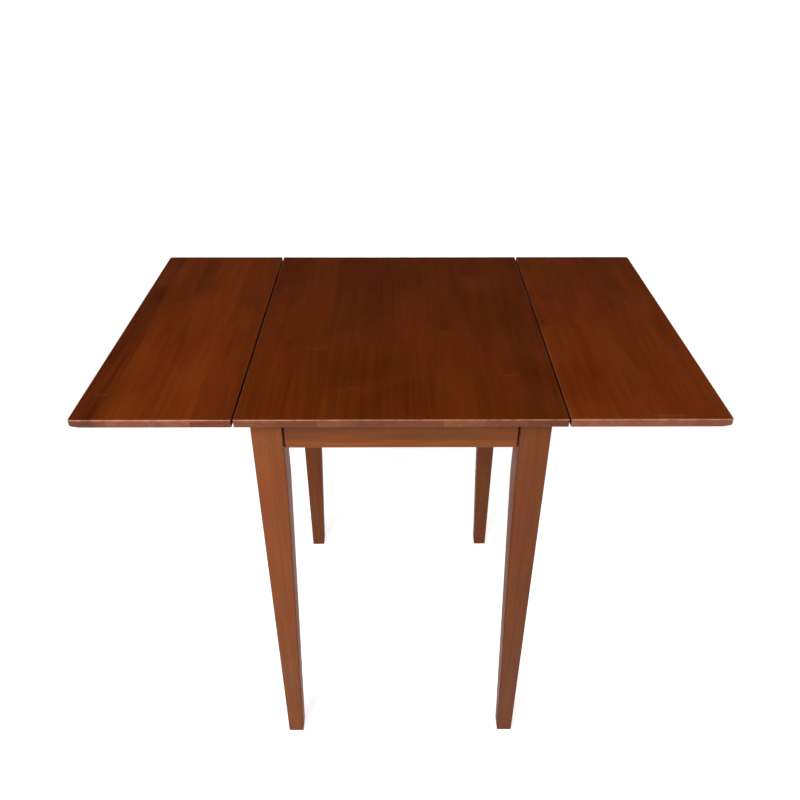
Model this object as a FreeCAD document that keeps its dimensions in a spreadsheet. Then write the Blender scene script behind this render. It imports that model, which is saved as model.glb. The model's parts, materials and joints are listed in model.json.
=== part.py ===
import FreeCAD, Part
import math
import os
import re

import Sketcher

# Drop-leaf dining table, modelled with both leaves raised.
# Millimetres, +Z up, +X along the length, front towards -Y, origin on the floor under the middle.

Vector = FreeCAD.Vector
Rotation = FreeCAD.Rotation
Placement = FreeCAD.Placement
Z_AXIS = Vector(0, 0, 1)

# Driving dimensions: alias, value, what it measures.
SIZES = [
    ("table_height", 749.3, "floor to upper face of the top"),
    ("table_depth", 558.8, "front to back of the top"),
    ("centre_length", 461.2, "fixed board, seam to seam"),
    ("leaf_length", 223.8, "leaf, seam to outer end"),
    ("seam_gap", 2.8, "between the fixed board and a leaf"),
    ("top_thick", 12.7, "boards of the top"),
    ("bevel_wide", 12.0, "under bevel at the leaves' outer ends, across"),
    ("bevel_high", 3.0, "under bevel at the leaves' outer ends, up"),
    ("edge_ease", 1.2, "chamfer of the upper outer edges"),
    ("low_ease", 1.0, "chamfer of the lower front and rear edges"),
    ("seam_ease", 1.0, "chamfer of the upper seam edges"),
    ("leg_wide", 44.5, "square leg at the top"),
    ("leg_foot", 27.0, "square leg at the floor"),
    ("leg_straight", 127.0, "untapered length below the top"),
    ("leg_inset_side", 17.7, "fixed board's end to the leg's outer face"),
    ("leg_inset_front", 19.0, "top's front edge to the leg's outer face"),
    ("leg_flat", 12.0, "legs of the inner corner's flat, each way"),
    ("leg_ease", 1.2, "chamfer of the leg's long edges"),
    ("apron_high", 51.5, "apron height"),
    ("apron_thick", 19.0, "apron thickness"),
    ("apron_setback", 2.0, "leg's outer face to the apron's"),
    ("apron_groove", 2.4, "chamfer at the apron's ends, the shadow line"),
    ("apron_ease", 1.5, "chamfer of the apron's lower outer edge"),
    ("block_thick", 19.0, "corner block thickness"),
    ("block_high", 40.0, "corner block height"),
    ("block_gap", 3.0, "leg's flat to the corner block"),
    ("block_screw_seat", 7.5, "apron's inner face to the screw head"),
    ("block_screw_deep", 12.0, "screw length in the apron"),
    ("bolt_radius", 4.0, "hanger bolt"),
    ("bolt_play", 0.15, "radial play round the hanger bolt"),
    ("bolt_down", 22.0, "top's underside to the bolt's axis"),
    ("bolt_in_leg", 26.0, "bolt length in the leg"),
    ("bolt_end", 4.0, "bolt length past the nut"),
    ("washer_radius", 9.0, "washer"),
    ("washer_thick", 1.6, "washer"),
    ("nut_across", 13.0, "nut, across flats"),
    ("nut_thick", 6.5, "nut"),
    ("cleat_gap", 25.8, "corner block to the cleat's end"),
    ("cleat_wide", 19.0, "cleat, both ways across"),
    ("cleat_ease", 2.0, "chamfer of the cleat's free edge"),
    ("cleat_side_in", 40.0, "cleat's end to its sideways screws"),
    ("cleat_up_in", 15.0, "cleat's end to its outer upward screws"),
    ("glide_radius", 9.5, "foot glide"),
    ("glide_high", 3.0, "foot glide"),
    ("glide_ease", 1.0, "foot glide's rounded lower edge"),
    ("glide_nail_radius", 1.1, "glide's nail"),
    ("glide_nail_long", 12.0, "glide's nail"),
    ("hinge_inset", 94.4, "top's front edge to a hinge's middle"),
    ("hinge_long", 60.0, "hinge along its pin"),
    ("hinge_fixed_reach", 18.0, "pin's axis to the fixed plate's edge"),
    ("hinge_leaf_reach", 34.0, "pin's axis to the leaf plate's edge"),
    ("plate_thick", 2.0, "hinge plates"),
    ("plate_corner", 3.0, "chamfer of the plates' free corners"),
    ("knuckle_radius", 4.0, "hinge knuckle"),
    ("knuckle_gap", 0.5, "top's underside to the knuckle"),
    ("knuckle_play", 0.3, "between knuckles along the pin"),
    ("knuckle_room", 0.8, "round a knuckle in the other plate's notch"),
    ("pin_radius", 1.6, "hinge pin"),
    ("pin_fit", 0.05, "radial running clearance of the pin"),
    ("pin_proud", 0.8, "pin past the knuckles at each end"),
    ("screw_pitch", 21.0, "hinge screws along the pin"),
    ("fixed_row", 12.0, "pin's axis to the fixed plate's screws"),
    ("leaf_row_near", 14.0, "pin's axis to the leaf plate's outer screws"),
    ("leaf_row_far", 27.0, "pin's axis to the leaf plate's middle screw"),
    ("screw_neck", 1.7, "wood screw radius under the head"),
    ("screw_head", 3.2, "wood screw head radius"),
    ("screw_play", 0.2, "radial play round a screw in a plate"),
    ("hinge_screw_long", 13.0, "hinge screw"),
    ("stay_screw_long", 13.0, "stay bracket screw"),
    ("cleat_screw_long", 30.0, "cleat screw"),
    ("pan_head_radius", 4.2, "corner block screw head"),
    ("pan_head_high", 2.6, "corner block screw head"),
    ("head_room", 0.6, "round a sunk screw head"),
    ("stay_beside", 85.0, "hinge's middle to the stay arm beside it"),
    ("arm_thick", 2.5, "stay arm"),
    ("arm_half", 5.5, "half width of the stay arm"),
    ("arm_eye", 6.5, "radius round the arm's pivot"),
    ("arm_ratio", 1.14, "arm's turn for each degree of the leaf"),
    ("stay_play", 0.4, "between the arm and its ears and heads"),
    ("pivot_in", 7.6, "hinge axis to the arm's pivot, inwards"),
    ("pivot_down", 31.4, "top's underside to the arm's pivot"),
    ("stud_out", 107.4, "hinge axis to the stud, outwards"),
    ("stud_drop", 16.0, "leaf's underside to the stud"),
    ("stud_radius", 2.5, "stud and pivot shank"),
    ("stud_fit", 0.05, "radial running clearance of stud and pivot"),
    ("slot_play", 0.3, "stud to the slot's side"),
    ("slot_seat", 0.4, "extra radius of the slot's end seat"),
    ("rivet_head_radius", 4.8, "stud and pivot heads"),
    ("rivet_head_thick", 1.6, "stud and pivot heads"),
    ("ear_thick", 2.5, "stay bracket sheet"),
    ("ear_radius", 6.5, "bracket ear round its hole"),
    ("flange_wide", 16.0, "bracket flange beside the ear"),
    ("flange_half", 13.0, "half length of the bracket flange"),
    ("flange_screw", 7.5, "flange's middle to each screw"),
    ("overrun", 5.0, "cuts past the stock"),
]

# Places worked out from the sizes.
PLACES = [
    ("under_z", "table_height - top_thick"),
    ("hinge_x", "centre_length / 2 + seam_gap / 2"),
    ("hinge_drop", "knuckle_radius + knuckle_gap"),
    ("axis_z", "under_z - hinge_drop"),
    ("leg_half", "leg_wide / 2"),
    ("leg_x", "centre_length / 2 - leg_inset_side - leg_half"),
    ("leg_y", "table_depth / 2 - leg_inset_front - leg_half"),
    ("leg_long", "under_z - glide_high"),
    ("leg_taper", "leg_wide - leg_foot"),
    ("foot_middle", "(leg_foot - leg_wide) / 2"),
    ("apron_side_x", "leg_x + leg_half - apron_setback"),
    ("apron_front_y", "leg_y + leg_half - apron_setback"),
    ("front_apron_long", "2 * (leg_x - leg_half)"),
    ("side_apron_long", "2 * (leg_y - leg_half)"),
    ("apron_inner", "apron_setback + apron_thick - leg_half"),
    ("block_near", "leg_wide - leg_flat + block_gap * sqrt(2)"),
    ("block_far", "block_near + block_thick * sqrt(2)"),
    ("block_screw_in", "(block_near + block_far) / 2 - apron_inner"),
    ("cleat_long", "2 * (leg_x + apron_inner - block_far - cleat_gap)"),
    ("cleat_side_place", "cleat_long / 2 - cleat_side_in"),
    ("cleat_up_place", "cleat_long / 2 - cleat_up_in"),
    ("hinge_place", "table_depth / 2 - hinge_inset"),
    ("stay_place", "hinge_place - stay_beside"),
    ("knuckle_end", "hinge_long / 6"),
    ("notch_reach", "knuckle_radius + knuckle_room"),
    ("apron_off", "hinge_x - apron_side_x"),
    ("pivot_z", "hinge_drop - pivot_down"),
    ("stud_z", "hinge_drop - stud_drop"),
    ("ear_near", "arm_thick / 2 + stay_play"),
    ("ear_far", "ear_near + ear_thick"),
    ("hole_radius", "screw_neck + screw_play"),
    ("sink", "screw_head - screw_neck"),
]

doc = FreeCAD.newDocument("drop_leaf_table")
sizes_sheet = doc.addObject("Spreadsheet::Sheet", "Sizes")
places_sheet = doc.addObject("Spreadsheet::Sheet", "Places")
size_names = [row[0] for row in SIZES]
place_names = [row[0] for row in PLACES]


def tie(text):
    """An expression with each named size or place given its sheet."""

    def full(found):
        word = found.group()
        if word in size_names:
            return "Sizes." + word
        if word in place_names:
            return "Places." + word
        return word

    return re.sub(r"[a-z][a-z_]*", full, text)


for row, (name, number, note) in enumerate(SIZES, 1):
    sizes_sheet.set("A%d" % row, note)
    sizes_sheet.set("B%d" % row, str(number))
    sizes_sheet.setAlias("B%d" % row, name)
doc.recompute()
for row, (name, text) in enumerate(PLACES, 1):
    places_sheet.set("B%d" % row, "=" + tie(text))
    places_sheet.setAlias("B%d" % row, name)
    doc.recompute()


def value(text):
    """The number that an expression gives."""
    return float(sizes_sheet.evalExpression(tie(text)))


# Corners: name, side along X, side along Y, turn from the front left corner.
CORNERS = [
    ("front_left", -1, -1, 0),
    ("front_right", 1, -1, 90),
    ("rear_right", 1, 1, 180),
    ("rear_left", -1, 1, 270),
]
# Table sides and ends: name, side along X or Y.
SIDES = [("right", 1), ("left", -1)]
ENDS = [("front", -1), ("rear", 1)]

kept = []


def side_turn(way):
    """A left piece is the right one turned by half a turn."""
    return 0 if way > 0 else 180


def settle(part, x="0", y="0", z="0", turn=0):
    """Keep a sub-part and tie its place to the sheets."""
    part.Placement = Placement(Vector(0, 0, 0), Rotation(Z_AXIS, turn))
    for axis, text in (("x", x), ("y", y), ("z", z)):
        part.setExpression("Placement.Base." + axis, tie(text))
    kept.append(part)
    doc.recompute()
    return part


def new_body(label):
    body = doc.addObject("PartDesign::Body", label)
    body.Label = label
    return body


def plane(body, role):
    return [item for item in body.Origin.OriginFeatures if item.Role == role][0]


def new_sketch(body, role, lift="0"):
    """A sketch on one of the body's own origin planes, lifted along its normal."""
    sketch = body.newObject("Sketcher::SketchObject", "Sketch")
    sketch.AttachmentSupport = [(plane(body, role), "")]
    sketch.MapMode = "FlatFace"
    sketch.setExpression("AttachmentOffset.Base.z", tie(lift))
    return sketch


def pin_down(sketch, item, point, x, y):
    """Tie one point of the sketch's item to the origin by two expressions."""
    for kind, text, axis in (("DistanceX", x, -2), ("DistanceY", y, -1)):
        if text == "0":
            sketch.addConstraint(Sketcher.Constraint("PointOnObject", item, point, axis))
            continue
        number = sketch.addConstraint(Sketcher.Constraint(kind, -1, 1, item, point, value(text)))
        sketch.setExpression("Constraints[%d]" % number, tie(text))


def outline(sketch, points):
    """A closed outline of straight lines through points given as expressions."""
    first = sketch.GeometryCount
    corners = [Vector(value(x), value(y), 0) for x, y in points]
    count = len(points)
    for index in range(count):
        line = Part.LineSegment(corners[index], corners[(index + 1) % count])
        sketch.addGeometry(line, False)
    for index, (x, y) in enumerate(points):
        following = first + (index + 1) % count
        sketch.addConstraint(Sketcher.Constraint("Coincident", first + index, 2, following, 1))
        pin_down(sketch, first + index, 1, x, y)


def circle(sketch, x, y, radius):
    item = sketch.addGeometry(Part.Circle(Vector(value(x), value(y), 0), Z_AXIS, value(radius)), False)
    number = sketch.addConstraint(Sketcher.Constraint("Radius", item, value(radius)))
    sketch.setExpression("Constraints[%d]" % number, tie(radius))
    pin_down(sketch, item, 3, x, y)


def pad(body, sketch, length, both_ways=False, back=False):
    feature = body.newObject("PartDesign::Pad", "Pad")
    feature.Profile = sketch
    feature.Midplane = both_ways
    feature.Reversed = back
    feature.setExpression("Length", tie(length))
    doc.recompute()
    return feature


def pocket(body, sketch, length=None, back=False):
    """Cut a sketch to a depth, or both ways through everything."""
    before = body.Shape.Volume
    feature = body.newObject("PartDesign::Pocket", "Pocket")
    feature.Profile = sketch
    feature.Reversed = back
    if length is None:
        feature.Type = "ThroughAll"
        feature.Midplane = True
    else:
        feature.setExpression("Length", tie(length))
    doc.recompute()
    if body.Shape.Volume >= before:
        raise RuntimeError(body.Label + ": a pocket cut nothing")
    return feature


def chamfer(body, size, wanted):
    """Chamfer the edges of the body that a test picks."""
    base = body.Tip
    names = []
    for index, edge in enumerate(base.Shape.Edges, 1):
        if wanted(edge):
            names.append("Edge%d" % index)
    feature = body.newObject("PartDesign::Chamfer", "Chamfer")
    feature.Base = (base, names)
    feature.setExpression("Size", tie(size))
    doc.recompute()
    return feature


def drill(body, radius, length, base, direction):
    """Cut a round hole from a base point given as expressions along a direction."""
    before = body.Shape.Volume
    hole = body.newObject("PartDesign::SubtractiveCylinder", "Drill")
    hole.AttachmentSupport = [(plane(body, "XY_Plane"), "")]
    hole.MapMode = "FlatFace"
    hole.AttachmentOffset = Placement(Vector(0, 0, 0), Rotation(Z_AXIS, direction))
    for axis, text in zip("xyz", base):
        hole.setExpression("AttachmentOffset.Base." + axis, tie(text))
    hole.setExpression("Radius", tie(radius))
    hole.setExpression("Height", tie(length))
    doc.recompute()
    if body.Shape.Volume >= before:
        raise RuntimeError(body.Label + ": a hole cut nothing")
    return hole


def near(first, second):
    tolerance = value("overrun") / 10000
    return abs(first - second) < tolerance


# Boards of the top


def board_profile(sketch):
    """The top's section across its depth, with eased edges."""
    outline(sketch, [
        ("low_ease - table_depth / 2", "0"),
        ("table_depth / 2 - low_ease", "0"),
        ("table_depth / 2", "low_ease"),
        ("table_depth / 2", "top_thick - edge_ease"),
        ("table_depth / 2 - edge_ease", "top_thick"),
        ("edge_ease - table_depth / 2", "top_thick"),
        ("-table_depth / 2", "top_thick - edge_ease"),
        ("-table_depth / 2", "low_ease"),
    ])


def ease_end(sketch, end, way, ease):
    """The waste above an eased upper edge at an end of the board, way being + or -."""
    other = "-" if way == "+" else "+"
    past = "%s %s overrun" % (end, way)
    outline(sketch, [
        ("%s %s %s" % (end, other, ease), "top_thick"),
        (end, "top_thick - " + ease),
        (past, "top_thick - " + ease),
        (past, "top_thick + overrun"),
        ("%s %s %s" % (end, other, ease), "top_thick + overrun"),
    ])


def make_centre_top():
    body = new_body("centre_top")
    section = new_sketch(body, "YZ_Plane")
    board_profile(section)
    pad(body, section, "centre_length", both_ways=True)
    ends = new_sketch(body, "XZ_Plane")
    ease_end(ends, "centre_length / 2", "+", "seam_ease")
    ease_end(ends, "-centre_length / 2", "-", "seam_ease")
    pocket(body, ends)
    settle(body, z="under_z")


def make_leaf(side, way):
    body = new_body(side + "_leaf")
    section = new_sketch(body, "YZ_Plane")
    board_profile(section)
    pad(body, section, "leaf_length")
    ends = new_sketch(body, "XZ_Plane")
    ease_end(ends, "0", "-", "seam_ease")
    ease_end(ends, "leaf_length", "+", "edge_ease")
    outline(ends, [
        ("leaf_length - bevel_wide", "0"),
        ("leaf_length", "bevel_high"),
        ("leaf_length + overrun", "bevel_high"),
        ("leaf_length + overrun", "-overrun"),
        ("leaf_length - bevel_wide", "-overrun"),
    ])
    pocket(body, ends)
    settle(body, x="%d * (hinge_x + seam_gap / 2)" % way, z="under_z", turn=side_turn(way))


# Legs, aprons and what joins them


def leg_section(body, lift, inner):
    """The leg's eased square at a height: outer faces fixed, inner faces where given."""
    section = new_sketch(body, "XY_Plane", lift)
    outline(section, [
        ("leg_ease - leg_half", "-leg_half"),
        (inner + " - leg_ease", "-leg_half"),
        (inner, "leg_ease - leg_half"),
        (inner, inner + " - leg_ease"),
        (inner + " - leg_ease", inner),
        ("leg_ease - leg_half", inner),
        ("-leg_half", inner + " - leg_ease"),
        ("-leg_half", "leg_ease - leg_half"),
    ])
    return section


def make_leg(corner, way_x, way_y, turn):
    """A square leg with its two inner faces tapered and a flat for the corner block."""
    body = new_body(corner + "_leg")
    shoulder = leg_section(body, "leg_long - leg_straight", "leg_half")
    pad(body, shoulder, "leg_straight")
    taper = body.newObject("PartDesign::AdditiveLoft", "Taper")
    taper.Profile = leg_section(body, "leg_long - leg_straight", "leg_half")
    taper.Sections = [(leg_section(body, "0", "leg_half - leg_taper"), [""])]
    taper.Ruled = True
    doc.recompute()
    flat = new_sketch(body, "XY_Plane", "leg_long")
    outline(flat, [
        ("leg_half - leg_flat - overrun", "leg_half + overrun"),
        ("leg_half + overrun", "leg_half - leg_flat - overrun"),
        ("leg_half + overrun", "leg_half + overrun"),
    ])
    pocket(body, flat, "apron_high")
    face = "leg_half - leg_flat / 2"
    drill(
        body,
        "bolt_radius + bolt_play",
        "bolt_in_leg + bolt_play",
        (face, face, "leg_long - bolt_down"),
        Vector(-1, -1, 0),
    )
    settle(body, "%d * leg_x" % way_x, "%d * leg_y" % way_y, "glide_high", turn)


def make_apron(label, long, x, y, turn):
    """A rail whose outer face is eased below and grooved where it meets the legs."""
    body = new_body(label)
    section = new_sketch(body, "YZ_Plane")
    outline(section, [
        ("0", "apron_ease"),
        ("apron_ease", "0"),
        ("apron_thick", "0"),
        ("apron_thick", "apron_high"),
        ("0", "apron_high"),
    ])
    pad(body, section, long, both_ways=True)
    ends = new_sketch(body, "XY_Plane")
    for sign, way in (("", "+"), ("-", "-")):
        end = "%s%s / 2" % (sign, long)
        inside = "-" if way == "+" else "+"
        outline(ends, [
            (end, "apron_groove"),
            ("%s %s apron_groove" % (end, inside), "0"),
            ("%s %s apron_groove" % (end, inside), "-overrun"),
            ("%s %s overrun" % (end, way), "-overrun"),
            ("%s %s overrun" % (end, way), "apron_groove"),
        ])
    pocket(body, ends)
    settle(body, x, y, "under_z - apron_high", turn)


def make_corner_block(corner, way_x, way_y, turn):
    """A mitred block across the corner, drilled for the hanger bolt and two sunk screws."""
    body = new_body(corner + "_corner_block")
    plan = new_sketch(body, "XY_Plane")
    outline(plan, [
        ("block_near - apron_inner", "apron_inner"),
        ("block_far - apron_inner", "apron_inner"),
        ("apron_inner", "block_far - apron_inner"),
        ("apron_inner", "block_near - apron_inner"),
    ])
    pad(body, plan, "block_high")
    middle = "block_high - bolt_down"
    start = "(block_near - overrun) / 2"
    drill(
        body,
        "bolt_radius + bolt_play",
        "block_thick + overrun * sqrt(2)",
        (start, start, middle),
        Vector(1, 1, 0),
    )
    seat = "apron_inner + block_screw_seat"
    head = "pan_head_radius + head_room"
    past = "block_far - apron_inner"
    drill(body, head, past, ("block_screw_in", seat, middle), Vector(0, 1, 0))
    drill(body, head, past, (seat, "block_screw_in", middle), Vector(1, 0, 0))
    settle(body, "%d * leg_x" % way_x, "%d * leg_y" % way_y, "under_z - block_high", turn)


def make_cleat(end, way):
    """A square strip that ties the fixed board to an apron."""
    body = new_body(end + "_cleat")
    section = new_sketch(body, "YZ_Plane")
    outline(section, [
        ("0", "0"),
        ("cleat_wide - cleat_ease", "0"),
        ("cleat_wide", "cleat_ease"),
        ("cleat_wide", "cleat_wide"),
        ("0", "cleat_wide"),
    ])
    pad(body, section, "cleat_long", both_ways=True)
    turn = 0 if way < 0 else 180
    settle(body, "0", "%d * (apron_front_y - apron_thick)" % way, "under_z - cleat_wide", turn)


# Hinges: local frame on the pin's axis, +X towards the leaf


def countersunk(body, places, lift):
    """Through holes for wood screws in a plate, countersunk on its lower face."""
    holes = new_sketch(body, "XY_Plane")
    for x, y in places:
        circle(holes, x, y, "hole_radius")
    pocket(body, holes)
    rim = value(lift)
    radius = value("hole_radius")
    chamfer(body, "sink", lambda edge: is_rim(edge, radius) and near(edge.BoundBox.ZMax, rim))


def is_rim(edge, radius):
    return isinstance(edge.Curve, Part.Circle) and near(edge.Curve.Radius, radius)


def knuckle(body, start, length):
    """A round knuckle from a place along the pin, towards +Y."""
    ring = new_sketch(body, "XZ_Plane", "-(%s)" % start)
    circle(ring, "0", "0", "knuckle_radius")
    pad(body, ring, length, back=True)


def bore_for_pin(body):
    bore = new_sketch(body, "XZ_Plane")
    circle(bore, "0", "0", "pin_radius + pin_fit")
    pocket(body, bore)


def make_fixed_plate(side, end, x, y, turn):
    body = new_body("%s_%s_hinge_fixed_plate" % (side, end))
    notch = "(knuckle_end + knuckle_play / 2)"
    edge = "hinge_long / 2"
    plan = new_sketch(body, "XY_Plane", "hinge_drop - plate_thick")
    outline(plan, [
        ("0", "-" + edge),
        ("0", "-" + notch),
        ("-notch_reach", "-" + notch),
        ("-notch_reach", notch),
        ("0", notch),
        ("0", edge),
        ("plate_corner - hinge_fixed_reach", edge),
        ("-hinge_fixed_reach", edge + " - plate_corner"),
        ("-hinge_fixed_reach", "plate_corner - " + edge),
        ("plate_corner - hinge_fixed_reach", "-" + edge),
    ])
    pad(body, plan, "plate_thick")
    long = "%s - %s" % (edge, notch)
    knuckle(body, "-" + edge, long)
    knuckle(body, notch, long)
    bore_for_pin(body)
    rows = [("-fixed_row", y_place) for y_place in ("-screw_pitch", "0", "screw_pitch")]
    countersunk(body, rows, "hinge_drop - plate_thick")
    settle(body, x, y, "axis_z", turn)


def make_leaf_plate(side, end, x, y, turn):
    body = new_body("%s_%s_hinge_leaf_plate" % (side, end))
    tongue = "(knuckle_end - knuckle_play / 2)"
    edge = "hinge_long / 2"
    plan = new_sketch(body, "XY_Plane", "hinge_drop - plate_thick")
    outline(plan, [
        ("0", "-" + tongue),
        ("notch_reach", "-" + tongue),
        ("notch_reach", "-" + edge),
        ("hinge_leaf_reach - plate_corner", "-" + edge),
        ("hinge_leaf_reach", "plate_corner - " + edge),
        ("hinge_leaf_reach", edge + " - plate_corner"),
        ("hinge_leaf_reach - plate_corner", edge),
        ("notch_reach", edge),
        ("notch_reach", tongue),
        ("0", tongue),
    ])
    pad(body, plan, "plate_thick")
    knuckle(body, "-" + tongue, "2 * " + tongue)
    bore_for_pin(body)
    rows = [
        ("leaf_row_near", "-screw_pitch"),
        ("leaf_row_far", "0"),
        ("leaf_row_near", "screw_pitch"),
    ]
    countersunk(body, rows, "hinge_drop - plate_thick")
    settle(body, x, y, "axis_z", turn)


def make_pin(side, end, x, y):
    pin = doc.addObject("Part::Cylinder", "%s_%s_hinge_pin" % (side, end))
    pin.Label = "%s_%s_hinge_pin" % (side, end)
    pin.setExpression("Radius", tie("pin_radius"))
    pin.setExpression("Height", tie("hinge_long + 2 * pin_proud"))
    pin.Placement = Placement(Vector(0, 0, 0), Rotation(Vector(1, 0, 0), -90))
    pin.setExpression("Placement.Base.x", tie(x))
    pin.setExpression("Placement.Base.y", tie("%s - hinge_long / 2 - pin_proud" % y))
    pin.setExpression("Placement.Base.z", tie("axis_z"))
    kept.append(pin)


# Stays: local frame on the hinge axis at the arm's middle, +X towards the leaf


def make_ear(body, tip_x, tip_z, root):
    """The upright ear of a bracket: a tapered web from the flange and a round end."""
    web = new_sketch(body, "XZ_Plane", "ear_near")
    outline(web, root)
    pad(body, web, "ear_thick")
    tip = new_sketch(body, "XZ_Plane", "ear_near")
    circle(tip, tip_x, tip_z, "ear_radius")
    pad(body, tip, "ear_thick")
    hole = new_sketch(body, "XZ_Plane")
    circle(hole, tip_x, tip_z, "stud_radius + stud_fit")
    pocket(body, hole)


def make_apron_bracket(side, end, x, y, turn):
    body = new_body("%s_%s_stay_apron_bracket" % (side, end))
    flange = new_sketch(body, "YZ_Plane", "-apron_off")
    outline(flange, [
        ("-ear_near", "pivot_z - flange_half"),
        ("-ear_near", "pivot_z + flange_half"),
        ("-ear_far - flange_wide", "pivot_z + flange_half"),
        ("-ear_far - flange_wide", "pivot_z - flange_half"),
    ])
    pad(body, flange, "ear_thick")
    make_ear(body, "-pivot_in", "pivot_z", [
        ("-apron_off", "pivot_z - flange_half"),
        ("-pivot_in", "pivot_z - ear_radius"),
        ("-pivot_in", "pivot_z + ear_radius"),
        ("-apron_off", "pivot_z + flange_half"),
    ])
    holes = new_sketch(body, "YZ_Plane")
    for way in ("-", "+"):
        circle(holes, "-ear_far - flange_wide / 2", "pivot_z %s flange_screw" % way, "hole_radius")
    pocket(body, holes)
    rim = value("ear_thick - apron_off")
    radius = value("hole_radius")
    chamfer(body, "sink", lambda edge: is_rim(edge, radius) and near(edge.BoundBox.XMin, rim))
    settle(body, x, y, "axis_z", turn)


def make_leaf_bracket(side, end, x, y, turn):
    body = new_body("%s_%s_stay_leaf_bracket" % (side, end))
    flange = new_sketch(body, "XY_Plane", "hinge_drop - ear_thick")
    outline(flange, [
        ("stud_out - flange_half", "-ear_near"),
        ("stud_out + flange_half", "-ear_near"),
        ("stud_out + flange_half", "-ear_far - flange_wide"),
        ("stud_out - flange_half", "-ear_far - flange_wide"),
    ])
    pad(body, flange, "ear_thick")
    make_ear(body, "stud_out", "stud_z", [
        ("stud_out - flange_half", "hinge_drop"),
        ("stud_out - ear_radius", "stud_z"),
        ("stud_out + ear_radius", "stud_z"),
        ("stud_out + flange_half", "hinge_drop"),
    ])
    places = [("stud_out %s flange_screw" % way, "-ear_far - flange_wide / 2") for way in "-+"]
    countersunk(body, places, "hinge_drop - ear_thick")
    settle(body, x, y, "axis_z", turn)


def turned(point, angle):
    """A point of the stay's plane turned about its origin, anticlockwise seen from the front."""
    across = point[0] * math.cos(angle) - point[1] * math.sin(angle)
    up = point[0] * math.sin(angle) + point[1] * math.cos(angle)
    return across, up


def slot_point(angle, aside):
    """The stud's place in the arm once the leaf has dropped by an angle, moved aside.

    The stud turns with the leaf about the hinge axis, the arm turns by a steady ratio of
    that about its pivot, and the slot is the stud's path as the arm sees it.
    """
    ratio = value("arm_ratio")
    pivot = (-value("pivot_in"), value("pivot_z"))
    stud = turned((value("stud_out"), value("stud_z")), -angle)
    reach = (stud[0] - pivot[0], stud[1] - pivot[1])
    swing = (-reach[1] * ratio + stud[1], reach[0] * ratio - stud[0])
    place = turned(reach, ratio * angle)
    way = turned(swing, ratio * angle)
    speed = math.hypot(way[0], way[1])
    across = pivot[0] + place[0] - aside * way[1] / speed
    up = pivot[1] + place[1] + aside * way[0] / speed
    return Vector(across, 0, up)


SLOT_STEPS = 10


def slot_band(half):
    """The face that a round tool of this radius covers along the slot."""
    angles = [math.pi / 2 * step / SLOT_STEPS for step in range(SLOT_STEPS + 1)]
    sides = []
    for aside in (half, -half):
        curve = Part.BSplineCurve()
        curve.interpolate([slot_point(angle, aside) for angle in angles])
        sides.append(curve)
    edges = [sides[0].toShape(), sides[1].toShape()]
    for angle, beyond in ((angles[0], 1), (angles[-1], -1)):
        ends = [slot_point(angle, half), slot_point(angle, -half)]
        middle = slot_point(angle, 0)
        along = (ends[0] - ends[1]).cross(Vector(0, 1, 0))
        along.normalize()
        edges.append(Part.Arc(ends[0], middle + along * half * beyond, ends[1]).toShape())
    wire = Part.Wire(Part.__sortEdges__(edges))
    return Part.Face(wire)


def disc(centre, radius):
    ring = Part.Circle(centre, Vector(0, 1, 0), radius)
    return Part.Face(Part.Wire(ring.toShape()))


def arm_shape():
    """A flat bar from the pivot's eye to a band that carries the curved slot."""
    thick = value("arm_thick")
    pivot = Vector(-value("pivot_in"), 0, value("pivot_z"))
    root = slot_point(math.pi / 2, 0)
    across = (root - pivot).cross(Vector(0, 1, 0))
    across.normalize()
    half = value("arm_half")
    corners = [
        pivot + across * half,
        root + across * half,
        root - across * half,
        pivot - across * half,
    ]
    bar = Part.Face(Part.makePolygon(corners + corners[:1]))
    eye = disc(pivot, value("arm_eye"))
    plate = thicken(bar, thick).fuse([thicken(eye, thick), thicken(slot_band(half), thick)])
    plate = plate.removeSplitter()
    over = thick + value("overrun")
    slot = thicken(slot_band(value("stud_radius + slot_play")), over)
    seat = thicken(disc(slot_point(0, 0), value("stud_radius + slot_play + slot_seat")), over)
    bore = thicken(disc(pivot, value("stud_radius + stud_fit")), over)
    return plate.cut([slot, seat, bore])


def thicken(face, thick):
    """A plate about the stay's plane."""
    plate = face.extrude(Vector(0, thick, 0))
    plate.translate(Vector(0, -thick / 2, 0))
    return plate


def make_arm(side, end, x, y, turn):
    arm = doc.addObject("Part::Feature", "%s_%s_stay_arm" % (side, end))
    arm.Label = "%s_%s_stay_arm" % (side, end)
    arm.Shape = arm_shape()
    settle(arm, x, y, "axis_z", turn)


# Fasteners: groups of alike solids


def turned_part(points):
    """A solid turned about Z from an outline of radius and height."""
    corners = [Vector(radius, 0, height) for radius, height in points]
    face = Part.Face(Part.makePolygon(corners + corners[:1]))
    return face.revolve(Vector(0, 0, 0), Z_AXIS, 360)


def wood_screw(long):
    """A countersunk screw whose head lies at the origin and whose point is up."""
    head, neck = value("screw_head"), value("screw_neck")
    return turned_part([(0, 0), (head, 0), (neck, value("sink")), (neck, long), (0, long)])


def pan_screw():
    """A pan-head screw whose head sits on the plane z = 0 and whose point is up."""
    head, neck, high = value("pan_head_radius"), value("screw_neck"), value("pan_head_high")
    long = value("block_screw_seat + block_screw_deep")
    return turned_part([(0, -high), (head, -high), (head, 0), (neck, 0), (neck, long), (0, long)])


def rivet(inner_head_at, outer_head_at):
    """A shank along Y with a flat head at each end."""
    head, shank = value("rivet_head_radius"), value("stud_radius")
    thick = value("rivet_head_thick")
    body = turned_part([
        (0, inner_head_at - thick),
        (head, inner_head_at - thick),
        (head, inner_head_at),
        (shank, inner_head_at),
        (shank, outer_head_at),
        (head, outer_head_at),
        (head, outer_head_at + thick),
        (0, outer_head_at + thick),
    ])
    body.rotate(Vector(0, 0, 0), Vector(1, 0, 0), -90)
    return body


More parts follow.
